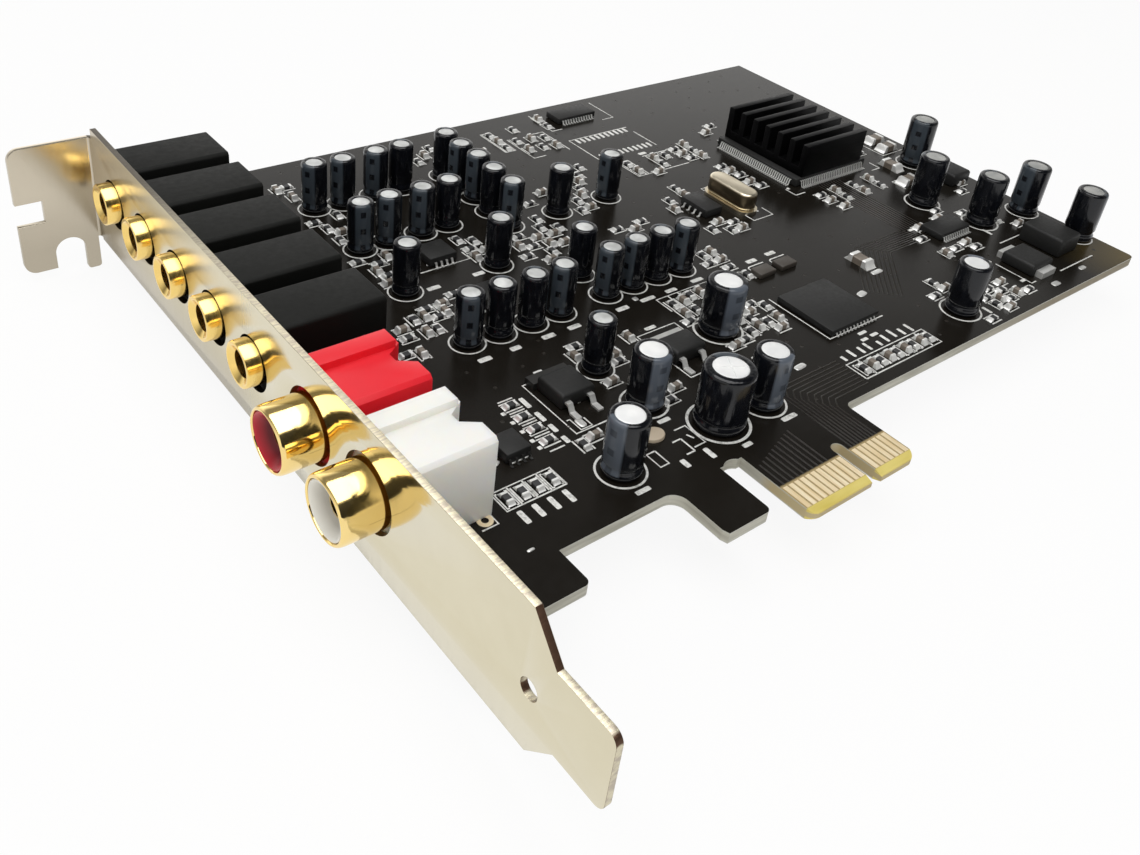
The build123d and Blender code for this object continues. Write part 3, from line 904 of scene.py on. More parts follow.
jacks = {
    "sides": 64,
    "bodyEdge": 0.22,       # mm
    # (radius, depth from the front) of the gold ring, from the bore outwards
    "ring": [(1.8, 3.0), (1.8, 0.60), (1.88, 0.48), (2.46, 0.12), (2.54, 0.03), (2.64, 0.0), (2.88, 0.0),
             (2.98, 0.06), (3.05, 0.2), (3.05, 3.2)],
}


def alongX(x, y, z):
    # the lathe's height runs into the card from a socket's front
    return Matrix.Translation((x, y, z)) @ Matrix.Rotation(math.radians(90), 4, "Y")


for number in range(1, 6):
    node = f"jack_bushing_{number}"
    middle, low, high = centre(node)
    matrix = alongX(low.x, middle.y, middle.z)
    ring = turnedPiece(f"jackRing{number}", jacks["ring"], jacks["sides"], paint["ring"], matrix)
    finishPiece(ring, "gold_plate", node)
    dressed(f"jack_body_{number}", f"jackBody{number}", paint["jack"], "jack_plastic", jacks["bodyEdge"], 3)

phono = {
    "barrelSides": 192,
    # (radius, depth from the front) round the rolled barrel's wall, outside first
    "barrel": [(3.76, 0.0), (3.86, 0.03), (3.98, 0.15), (4.07, 0.34), (4.12, 0.58), (4.15, 0.95), (4.15, 2.0),
               (4.15, 3.0), (4.15, 6.4), (3.57, 6.4), (3.57, 3.0), (3.56, 0.40), (3.57, 0.16), (3.65, 0.04)],
    "seamStart": 3.0,       # depth, mm
    "seamHalf": 0.22,       # degrees
    "insertSides": 64,
    "bodyEdge": 0.25,
    # the coloured insert, from the barrel's front: a dished face that leads into the centre hole
    "insert": [(3.54, 6.2), (3.54, 0.30), (3.48, 0.17), (3.36, 0.14), (3.22, 0.22), (2.9, 0.62), (2.4, 1.30),
               (1.95, 1.95), (1.75, 2.40), (1.65, 6.2)],
}


def makeBarrel(colour):
    # a tube wall turned round the axis, with a narrow seam that runs in from the back
    middle, low, high = centre(f"phono_shell_{colour}")
    matrix = alongX(low.x, middle.y, middle.z)
    profile, sides = phono["barrel"], phono["barrelSides"]
    start = math.radians(phono["seamHalf"])
    points, faces = [], []
    for i in range(sides + 1):
        angle = start + (2 * math.pi - 2 * start) * i / sides
        for radius, depth in profile:
            spot = Vector((radius * math.sin(angle), -radius * math.cos(angle), depth))
            points.append(matrix @ spot)
    count = len(profile)
    back = [k for k in range(count) if profile[k][1] >= phono["seamStart"]]
    for i in range(sides + 1):
        a, b = i * count, (i + 1) % (sides + 1) * count
        for k in range(count):
            j = (k + 1) % count
            if i < sides or not (k in back and j in back):
                faces.append((a + k, a + j, b + j, b + k))
    last = sides * count
    # the seam's two walls and its closed front end
    faces += [tuple(back), tuple(last + k for k in reversed(back))]
    faces.append((back[0], back[-1], last + back[-1], last + back[0]))
    mesh = meshFrom(f"barrel_{colour}", points, faces)
    outward(mesh)
    soften(mesh)
    finishPiece(makeObject(f"barrel_{colour}", mesh, paint["gold"]), "gold_plate", f"phono_shell_{colour}")
    finish = paint[f"{colour}Insert"]
    insert = turnedPiece(f"insert_{colour}", phono["insert"], phono["insertSides"], finish, matrix)
    finishPiece(insert, f"{colour}_plastic", f"phono_insert_{colour}")
    edge = phono["bodyEdge"]
    dressed(f"phono_body_{colour}", f"phonoBody_{colour}", paint[colour], f"{colour}_plastic", edge, 3)


makeBarrel("white")
makeBarrel("red")
print("bracket and sockets ready")


cans = {
    "sides": 36,
    # share of the radius where the sleeve's rolled edge ends
    "lip": {"small": 0.66, "slim": 0.72, "main": 0.68, "supply": 0.68, "far": 0.69},
    # finishes of the groups that differ from the small cans, which have "sleeve" and "paleCan"
    "film": {"slim": "striped", "supply": "striped"},
    # the far group's darker tops are painted shade
    "metal": {"far": "dullCan", "main": "can", "slim": "can", "supply": "can"},
    "vent": 0.60,          # share of the radius that the pressed cross reaches
    "groove": 0.30,        # mm wide
    "depth": 0.13,
    # the printed ring: its gap to the can in mm, its outer radius as a share of the inner one,
    # and the least gap to the board's end
    "ring": (0.42, 1.1, 0.1),
    "ringSides": 48,
    # radius and height of each group's cans, mm
    "groups": {
        "upper": (2.0, 8.3), "middle": (2.0, 8.3), "column": (2.0, 8.3), "lower": (2.0, 8.3),
        "front": (2.0, 8.3), "far": (2.6, 9.3), "slim": (2.6, 8.6), "supply": (3.0, 8.5), "main": (3.5, 8.8),
    },
    # which way each can's pale stripe faces, in degrees, in the order of their places along X
    "stripes": {
        "upper": [210, 206, 222, 60], "middle": [60, 252, 225, 222, 60, 60], "lower": [238, 60, 60, 60, 215],
        "column": [225, 60, 190, 60, 200, 60, 190], "front": [200, 60, 190, 60, 200],
        "slim": [185, 262, 268, 40], "supply": [262], "main": [60], "far": [100, 60, 200, 170, -60],
    },
}


def sleeveProfile(radius, height, share):
    # the film's folds near the foot, its neck and its rolled edge over the top
    lip = share * radius
    return [(0.5 * radius, 0.32), (0.90 * radius, 0.30), (0.97 * radius, 0.38), (radius, 0.55),
            (radius, 1.15), (0.955 * radius, 1.38), (0.925 * radius, 1.6), (0.925 * radius, 1.75),
            (0.955 * radius, 1.97), (radius, 2.2), (radius, height * 0.6), (radius, height - 0.62),
            (0.985 * radius, height - 0.32), (0.945 * radius, height - 0.11), (0.895 * radius, height - 0.01),
            (0.82 * radius, height + 0.03), (lip + 0.06, height + 0.02), (lip, height - 0.04),
            (lip - 0.02, height - 0.15)]


def topParts(radius, height, share, vented):
    edge, face = share * radius, height - 0.06
    lip = [(edge - 0.01, face - 0.10), (edge - 0.04, face - 0.03), (edge - 0.16, face)]
    if not vented:
        return lathe(lip + [(0.5 * edge, face + 0.01), (0, face + 0.01)], cans["sides"])
    # four raised quarters round a sunken cross
    reach, half, deep = cans["vent"] * radius, cans["groove"] / 2, cans["depth"]
    parts = [lathe([(reach + 0.02, face - deep), (0, face - deep)], cans["sides"])]
    parts.append(lathe(lip + [(reach, face), (reach, face - deep - 0.02)], cans["sides"]))
    start = math.asin(half / reach)
    for quarter in range(4):
        loop = [(half, half)]
        for i in range(9):
            angle = start + (math.pi / 2 - 2 * start) * i / 8
            loop.append((reach * math.cos(angle), reach * math.sin(angle)))
        c, s = math.cos(quarter * math.pi / 2), math.sin(quarter * math.pi / 2)
        loop = [(x * c - y * s, x * s + y * c) for x, y in loop]
        count = len(loop)
        points = [(x, y, face) for x, y in loop] + [(x, y, face - deep) for x, y in loop]
        faces = [tuple(range(count))]
        faces += [(i, i + count, (i + 1) % count + count, (i + 1) % count) for i in range(count)]
        parts.append((points, faces))
    return joined(parts)


def makeCans():
    rings = []
    gap, outer, endGap = cans["ring"]
    boardEnd = centre("board")[2].x - endGap
    for group, (radius, height) in cans["groups"].items():
        places = middles(f"capacitor_tops_{group}")
        spots = [(x, y, boardTop, turn) for (x, y), turn in zip(places, cans["stripes"][group])]
        share = cans["lip"].get(group, cans["lip"]["small"])
        shape = lathe(sleeveProfile(radius, height, share), cans["sides"])
        sleeve = prototype(f"sleeveShape_{group}", *shape)
        top = prototype(f"topShape_{group}", *topParts(radius, height, share, group == "main"))
        film, metal = paint[cans["film"].get(group, "sleeve")], paint[cans["metal"].get(group, "paleCan")]
        stand(f"canSleeves_{group}", sleeve, spots, film, "sleeve_black", [f"capacitor_sleeves_{group}"])
        stand(f"canTops_{group}", top, spots, metal, "can_aluminium", [f"capacitor_tops_{group}"])
        for x, y in places:
            # a can near the board's end has a tighter ring
            inner = min(radius + gap, (boardEnd - x) / outer)
            rings.append((x, y, boardTop, 0, inner, inner, 1))
    profile = [(1.0, 0.0), (1.0, 0.02), (outer, 0.02), (outer, 0.0)]
    ring = prototype("ringShape", *lathe(profile, cans["ringSides"]))
    stand("printedRings", ring, rings, paint["silk"], "white_plastic")


makeCans()
print("capacitors ready")


chips = {
    # the node, its piece, finish, slot, edge in mm and steps of the edge
    "bodies": [
        ("main_chip", "mainChip", "chip", "chip_plastic", 0.12, 2),
        ("memory_chip", "memoryChip", "chip", "chip_plastic", 0.10, 2),
        ("small_chips", "smallChips", "chip", "chip_plastic", 0.12, 2),
        ("regulator_bodies", "regulatorBodies", "chip", "chip_plastic", 0.18, 2),
        ("coil_block", "coilBlock", "chip", "chip_plastic", 0.2, 2),
        ("diode_block", "diodeBlock", "chip", "chip_plastic", 0.2, 2),
        ("filter_block", "filterBlock", "chip", "chip_plastic", 0.2, 2),
        ("ceramic_blocks", "ceramicBlocks", "brown", "ceramic_brown", 0.15, 2),
        ("crystal_can", "crystalCan", "crystal", "crystal_metal", 0.5, 4),
        ("heatsink", "finnedCooler", "cooler", "cooler_black", 0.10, 2),
    ],
    # width, reach, rise and thickness of each kind of lead, mm
    "fineLead": (0.26, 1.25, 1.1, 0.13),
    "wideLead": (0.34, 0.85, 0.7, 0.13),
    "shortLead": (0.30, 0.55, 0.45, 0.10),
    "regulatorLead": (0.86, 2.6, 1.25, 0.30),
    # leads on a side and their pitch
    "main": (36, 0.5),
    "memory": (12, 0.8),
    "long": (12, 0.65),     # small chips longer than longFrom
    "small": (4, 1.27),     # small chips longer than smallFrom
    "tiny": (4, 0.95),
    "longFrom": 7.0,
    "smallFrom": 4.9,
    "dullBelow": (-20.0, 40.0),     # chips at smaller X and Y, near the sockets, have dull leads
}


def gullWing(width, reach, rise, thick):
    # a lead that leaves the body at +X, steps down and ends in a flat foot
    path = [(-0.15, rise), (0.22 * reach, rise), (0.45 * reach, thick), (reach, thick)]
    points, faces = [], []
    for x, z in path:
        for y in (-width / 2, width / 2):
            points += [(x, y, z), (x, y, z - thick)]
    for i in range(len(path) - 1):
        a = i * 4
        b = a + 4
        faces += [(a, b, b + 2, a + 2), (a + 1, a + 3, b + 3, b + 1)]
        faces += [(a, a + 1, b + 1, b), (a + 2, b + 2, b + 3, a + 3)]
    end = len(points)
    faces += [(0, 2, 3, 1), (end - 4, end - 3, end - 1, end - 2)]
    return points, faces


def sideLeads(low, high, count, pitch, sides):
    # places of leads along the named sides (up, down, left, right) of a body between two corners
    x, y = low[:2]
    dx, dy = high[0] - low[0], high[1] - low[1]
    places = []
    for side in sides:
        along = dx if side in "ud" else dy
        for i in range(count):
            offset = along / 2 + (i - (count - 1) / 2) * pitch
            if side == "r":
                places.append((x + dx, y + offset, boardTop, 0))
            elif side == "l":
                places.append((x, y + offset, boardTop, 180))
            elif side == "u":
                places.append((x + offset, y + dy, boardTop, 90))
            else:
                places.append((x + offset, y, boardTop, -90))
    return places


def makeChips():
    for node, name, finish, slot, edge, steps in chips["bodies"]:
        dressed(node, name, paint[finish], slot, edge, steps)
    lead = {kind: prototype(kind, *gullWing(*chips[kind])) for kind in chips if kind.endswith("Lead")}
    leads = sideLeads(*islands("main_chip")[0], *chips["main"], "udlr")
    stand("mainChipLeads", lead["fineLead"], leads, paint["solder"], "pin_tin")
    leads = sideLeads(*islands("memory_chip")[0], *chips["memory"], "du")
    stand("memoryLeads", lead["shortLead"], leads, paint["solder"], "pin_tin")
    brightLeads, dullLeads = [], []
    for low, high in islands("small_chips"):
        dx, dy = high[0] - low[0], high[1] - low[1]
        if dx > chips["longFrom"]:
            brightLeads += sideLeads(low, high, *chips["long"], "ud")
            continue
        across = "lr" if dy > dx + 1.0 else "ud"
        leads = chips["small" if max(dx, dy) > chips["smallFrom"] else "tiny"]
        nearSockets = low[0] < chips["dullBelow"][0] and low[1] < chips["dullBelow"][1]
        (dullLeads if nearSockets else brightLeads).extend(sideLeads(low, high, *leads, across))
    stand("smallChipLeads", lead["wideLead"], brightLeads, paint["solder"], "pin_tin")
    stand("dullChipLeads", lead["wideLead"], dullLeads, paint["tab"], "pin_tin")
    wings = [((low[0] + high[0]) / 2, high[1], boardTop, -90) for low, high in islands("regulator_leads")]
    stand("regulatorWings", lead["regulatorLead"], wings, paint["solder"], "pin_tin", ("regulator_leads",))


makeChips()
print("chips ready")


surface = {
    # small parts and printing on the board, in mm: length, width and height of each kind
    "sizes": {"resistor": (1.7, 0.95, 0.50), "condenser": (1.7, 0.95, 0.85), "large": (3.4, 2.2, 1.3)},
    # (x, y, turn) of each; 0 lies along X, 90 along Y
    "resistor": [
        (-41.0, 21.2, 90), (-38.8, 21.2, 90), (-36.7, 21.2, 90), (-34.5, 21.2, 90), (-30.6, 34.6, 0),
        (-30.6, 32.0, 0), (-30.6, 29.4, 0), (-30.6, 26.8, 0), (-36.2, 50.3, 0), (-33.9, 53.4, 0),
        (-30.9, 56.8, 90), (-29.2, 53.4, 90), (-27.4, 55.8, 0), (-15.4, 40.5, 0), (-11.6, 37.4, 0),
        (-12.2, 34.8, 0), (-27.4, 23.9, 90), (-10.8, 28.2, 90), (-12.0, 24.8, 0), (-28.4, 99.6, 0),
        (-30.0, 87.0, 0), (-29.0, 84.5, 90), (-29.0, 80.6, 90), (-30.0, 73.7, 0), (-27.4, 71.9, 0),
        (-28.0, 68.4, 0), (-25.6, 87.6, 90), (-13.3, 72.2, 90), (-13.0, 69.0, 0), (-11.2, 70.8, 90),
        (-28.0, 58.2, 0), (-22.4, 59.6, 0), (4.3, 41.4, 90), (8.3, 42.0, 90), (6.4, 38.7, 90),
        (3.4, 36.9, 0), (14.8, 35.6, 0), (12.0, 32.8, 90), (16.6, 34.2, 90), (9.5, 30.4, 90),
        (13.6, 30.9, 90), (7.2, 29.4, 0), (18.7, 49.6, 90), (17.7, 47.2, 0), (19.9, 44.9, 0),
        (20.8, 41.9, 90), (26.3, 55.0, 90), (29.3, 53.4, 90), (31.7, 55.3, 0), (46.4, 24.9, 90),
        (43.4, 22.2, 0), (50.6, 17.5, 0), (55.0, 17.6, 0), (50.4, 15.6, 90), (54.2, 15.4, 0),
        (59.6, 15.4, 0), (46.0, 13.4, 0), (53.4, 19.0, 0), (60.3, 29.9, 0), (64.2, 28.4, 0),
        (57.4, 34.9, 0), (69.0, 40.2, 0), (73.0, 37.3, 0), (54.0, 54.6, 0), (57.9, 51.9, 90),
        (63.0, 54.6, 90), (67.9, 52.0, 90), (80.8, 42.6, 0), (76.4, 32.4, 90), (42.2, 81.2, 0),
        (42.8, 77.0, 0), (45.4, 79.3, 90), (45.4, 71.6, 0), (46.2, 67.5, 0), (46.6, 62.6, 0),
        (0.6, 101.6, 90), (-4.0, 98.0, 90), (7.4, 101.0, 0), (13.5, 101.2, 90), (13.5, 95.8, 90),
        (16.9, 97.2, 90), (20.0, 93.2, 90), (22.7, 96.2, 90), (19.2, 101.6, 90), (26.4, 100.2, 90),
        (29.6, 80.3, 90), (36.0, 77.6, 90), (38.8, 80.0, 90), (10.7, 70.5, 90), (12.2, 73.5, 90),
        (15.5, 76.9, 90), (18.5, 81.0, 90), (20.6, 83.4, 90), (31.0, 69.0, 90), (26.8, 66.0, 90),
        (0.8, 69.2, 90), (3.6, 67.9, 90), (-3.8, 64.9, 0), (-4.2, 68.4, 0), (2.0, 71.7, 90),
        (-6.4, 62.9, 0), (-2.0, 62.4, 90), (4.2, 76.5, 0), (11.8, 62.7, 0), (17.2, 62.9, 0),
        (17.0, 15.7, 90), (20.8, 15.7, 90), (24.6, 15.7, 90), (28.4, 15.7, 90), (32.2, 15.7, 90),
        (56.6, 86.0, 0), (75.6, 63.0, 0),
    ],
    "condenser": [
        (-34.2, 49.6, 90), (-33.6, 55.4, 0), (-29.2, 56.8, 90), (-30.9, 53.4, 90), (-26.0, 56.4, 90),
        (-16.8, 38.7, 90), (-16.1, 31.7, 0), (-11.9, 36.1, 0), (-25.2, 24.4, 0), (-9.6, 26.4, 0),
        (-30.3, 99.2, 90), (-29.0, 96.0, 90), (-27.6, 82.6, 0), (-28.8, 70.1, 90), (-29.0, 66.5, 0),
        (-25.4, 73.2, 90), (-13.6, 66.6, 90), (-11.0, 67.6, 0), (-25.4, 58.2, 0), (6.4, 41.4, 90),
        (4.2, 38.8, 90), (10.3, 41.9, 90), (13.0, 34.0, 0), (10.0, 33.6, 90), (11.5, 30.8, 90),
        (15.9, 31.0, 90), (14.4, 28.8, 0), (4.9, 29.0, 0), (-7.3, 38.4, 90), (20.6, 49.8, 90),
        (20.3, 47.2, 0), (29.0, 56.4, 0), (31.4, 53.0, 0), (46.8, 22.9, 0), (52.6, 16.4, 90),
        (57.0, 16.0, 90), (51.8, 13.9, 0), (57.0, 19.2, 0), (63.6, 30.2, 0), (57.0, 29.6, 90),
        (60.3, 37.7, 0), (66.6, 38.2, 0), (53.9, 52.3, 0), (58.0, 54.6, 90), (63.0, 51.8, 90),
        (68.0, 54.8, 90), (83.5, 44.8, 0), (79.2, 29.5, 0), (42.3, 79.1, 0), (45.4, 81.9, 90),
        (45.4, 76.7, 90), (45.5, 69.5, 0), (45.6, 64.6, 0), (-1.8, 99.6, 90), (8.2, 96.2, 0),
        (13.5, 98.5, 90), (16.9, 93.4, 90), (20.0, 96.9, 90), (22.7, 92.6, 90), (26.6, 103.4, 90),
        (29.6, 77.4, 90), (36.0, 80.2, 90), (33.0, 75.4, 0), (12.8, 70.8, 0), (14.2, 74.9, 90),
        (17.0, 79.0, 90), (30.8, 66.4, 90), (25.4, 63.3, 90), (1.6, 66.6, 0), (-1.6, 66.8, 0),
        (-5.8, 66.0, 90), (-0.8, 64.4, 90), (-3.7, 60.4, 0), (1.4, 63.6, 0), (8.4, 78.7, 0),
        (14.6, 61.4, 0), (18.9, 15.7, 90), (22.7, 15.7, 90), (26.5, 15.7, 90), (30.3, 15.7, 90),
        (53.6, 84.0, 0), (54.6, 49.6, 0),
    ],
    "large": [(40.8, 35.2, 90), (74.0, 50.2, 0), (76.5, 56.0, 90), (83.2, 65.4, 0), (82.6, 61.8, 0)],
    # bare tinned pads: (x, y, turn, length, width)
    "pads": [
        (33.2, 28.8, 10, 2.0, 1.2), (9.3, 20.8, 5, 2.2, 1.0), (0.4, 45.5, 0, 0.9, 0.9),
        (65.9, 14.1, 0, 2.0, 1.1), (75.3, 14.6, 0, 1.8, 0.9), (-25.0, 27.4, 90, 1.7, 1.1),
        (41.0, 31.9, 0, 2.6, 1.0), (-43.4, 13.5, 0, 1.0, 0.4), (-37.0, 28.0, 30, 1.0, 0.6),
        (-38.4, 26.8, 30, 1.0, 0.6), (30.2, 33.0, 30, 1.4, 0.5),
    ],
    # printed bars: (x, y, turn, length, width)
    "bars": [
        (-41.0, 17.9, 90, 2.2, 0.75), (-38.9, 17.9, 90, 2.2, 0.75), (-36.7, 17.9, 90, 2.2, 0.75),
        (-34.5, 17.9, 90, 2.2, 0.75), (-28.6, 34.2, 90, 2.2, 0.7), (-28.6, 31.0, 90, 2.0, 0.7),
        (-28.6, 28.4, 90, 1.6, 0.7), (-28.6, 25.9, 90, 1.4, 0.7), (-27.6, 44.4, 0, 2.1, 0.9),
        (-22.5, 44.4, 0, 1.7, 0.9), (-16.8, 44.4, 0, 2.2, 0.9), (-12.2, 44.4, 0, 2.2, 0.9),
        (-3.0, 44.5, 0, 2.3, 0.9), (2.1, 44.6, 0, 2.8, 0.8), (6.9, 44.6, 0, 2.2, 0.8),
        (12.6, 44.8, 0, 2.4, 0.8), (-26.6, 13.9, 0, 2.2, 0.7), (-23.2, 38.5, 0, 1.4, 0.7),
        (-2.8, 38.7, 0, 2.0, 0.7), (-18.9, 14.7, 90, 1.5, 0.8), (-14.9, 14.5, 90, 2.0, 0.8),
        (-15.5, 22.2, 0, 2.0, 0.7), (-9.6, 13.1, 0, 1.6, 0.7), (-0.7, 14.0, 0, 2.7, 0.8),
        (24.7, 44.6, 0, 2.2, 0.9), (29.4, 44.8, 0, 2.2, 0.9), (18.5, 19.1, 90, 1.8, 0.55),
        (16.5, 18.8, 90, 1.2, 0.55), (20.5, 18.9, 90, 1.6, 0.55), (22.1, 19.0, 90, 1.8, 0.55),
        (24.4, 18.6, 90, 1.2, 0.55), (26.2, 19.0, 90, 1.8, 0.55), (28.2, 19.3, 90, 2.0, 0.55),
        (30.0, 18.8, 90, 1.6, 0.55), (31.9, 18.9, 90, 1.9, 0.55), (24.3, 21.7, 0, 1.8, 0.6),
        (23.2, 20.4, 0, 1.4, 0.6), (25.6, 20.5, 0, 1.6, 0.6), (-23.9, 62.5, 0, 2.2, 0.9),
        (-15.9, 62.6, 0, 2.0, 0.9), (-20.9, 68.6, 60, 1.4, 0.6), (10.0, 26.9, 0, 1.4, 0.6),
        (5.0, 25.2, 90, 1.6, 0.6), (35.5, 82.8, 0, 1.8, 0.8), (58.6, 38.0, 0, 1.4, 0.6),
        (71.0, 30.6, 90, 2.0, 0.6), (47.6, 15.4, 90, 1.8, 0.6), (61.6, 17.6, 0, 1.4, 0.6),
    ],
    "dots": [(-32.3, y) for y in (26.3, 27.8, 29.8, 31.8, 33.8)]
    + [(-22.6, 30.9), (38.5, 56.2), (50.4, 59.4), (61.8, 24.2)],
    "dotSize": 0.6,
    # the two rows of bare pads for a chip that isn't fitted
    "rowPads": {"first": 27.6, "pitch": 1.18, "count": 11, "rows": (92.2, 85.2),
                "pad": (90, 1.7, 0.62, 0.06)},
    "padHeight": 0.10,
    "printHeight": 0.022,
    "padCorner": 0.30,      # as a share of a pad's width
    "barCorner": 0.16,
    "turnSpread": 1.5,      # degrees that the small parts and pads are turned at random, at most
    "padSpread": 1.0,
}


def ringPoints(section, places):
    # one loop of points for each (x, size, top) in places, joined into a closed body
    points, faces = [], []
    count = len(section)
    for x, size, top in places:
        points += [(x, y * size, z * size * top) for y, z in section]
    for row in range(len(places) - 1):
        for i in range(count):
            j = (i + 1) % count
            a, b = row * count, row * count + count
            faces.append((a + i, a + j, b + j, b + i))
    faces += [tuple(range(count)), tuple(reversed(range(len(points) - count, len(points))))]
    return points, faces


def surfacePartShape():
    # tinned ends a little larger than the body, and a sloped fillet of solder at each end
    section = [(-0.5, 0.0), (0.5, 0.0), (0.5, 0.90), (0.42, 1.0), (-0.42, 1.0), (-0.5, 0.90)]
    ends = [(0.72, 1.04, 0.06), (0.64, 1.06, 0.16), (0.56, 1.04, 0.45), (0.505, 1.0, 0.86), (0.47, 1.0, 1.0),
            (0.29, 1.0, 1.0), (0.27, 0.93, 0.96)]
    places = [(-x, size, top) for x, size, top in ends] + [(x, size, top) for x, size, top in reversed(ends)]
    return ringPoints(section, places)


def moundShape(corner):
    # a low dome of solder or ink, one long, one wide and one high, with rounded corners
    points, faces = [], []
    rings = [(1.0, 0.0), (1.0, 0.35), (0.90, 0.75), (0.55, 1.0)]
    loop = []
    for cx, cy, start in ((1, 1, 0), (-1, 1, 90), (-1, -1, 180), (1, -1, 270)):
        for step in range(4):
            angle = math.radians(start + 30 * step)
            across = cx * (0.5 - corner) + corner * math.cos(angle)
            loop.append((across, cy * (0.5 - corner) + corner * math.sin(angle)))
    for size, height in rings:
        points += [(x * size, y * size, height) for x, y in loop]
    count = len(loop)
    for row in range(len(rings) - 1):
        a, b = row * count, row * count + count
        faces += [(a + i, a + (i + 1) % count, b + (i + 1) % count, b + i) for i in range(count)]
    faces += [tuple(reversed(range(count))), tuple(range(len(points) - count, len(points)))]
    return points, faces


def makeSurfaceParts():
    shape = prototype("surfacePartShape", *surfacePartShape())
    for kind, finish in (("resistor", "resistor"), ("condenser", "condenser"), ("large", "condenser")):
        length, width, height = surface["sizes"][kind]
        spots = [(x, y, boardTop, turn, length, width, height) for x, y, turn in surface[kind]]
        stand(f"{kind}Parts", shape, spots, paint[finish], "ceramic_brown", (), surface["turnSpread"])
    mound = prototype("moundShape", *moundShape(surface["padCorner"]))
    pads = [(x, y, boardTop, *size, surface["padHeight"]) for x, y, *size in surface["pads"]]
    row = surface["rowPads"]
    for i in range(row["count"]):
        pads += [(row["first"] + row["pitch"] * i, y, boardTop, *row["pad"]) for y in row["rows"]]
    stand("barePads", mound, pads, paint["solder"], "pin_tin", (), surface["padSpread"])
    thin, dot = surface["printHeight"], surface["dotSize"]
    bars = [(x, y, boardTop, *size, thin) for x, y, *size in surface["bars"]]
    bars += [(x, y, boardTop, 0, dot, dot, thin) for x, y in surface["dots"]]
    flat = prototype("flatBarShape", *moundShape(surface["barCorner"]))
    stand("printedBars", flat, bars, paint["silk"], "white_plastic")


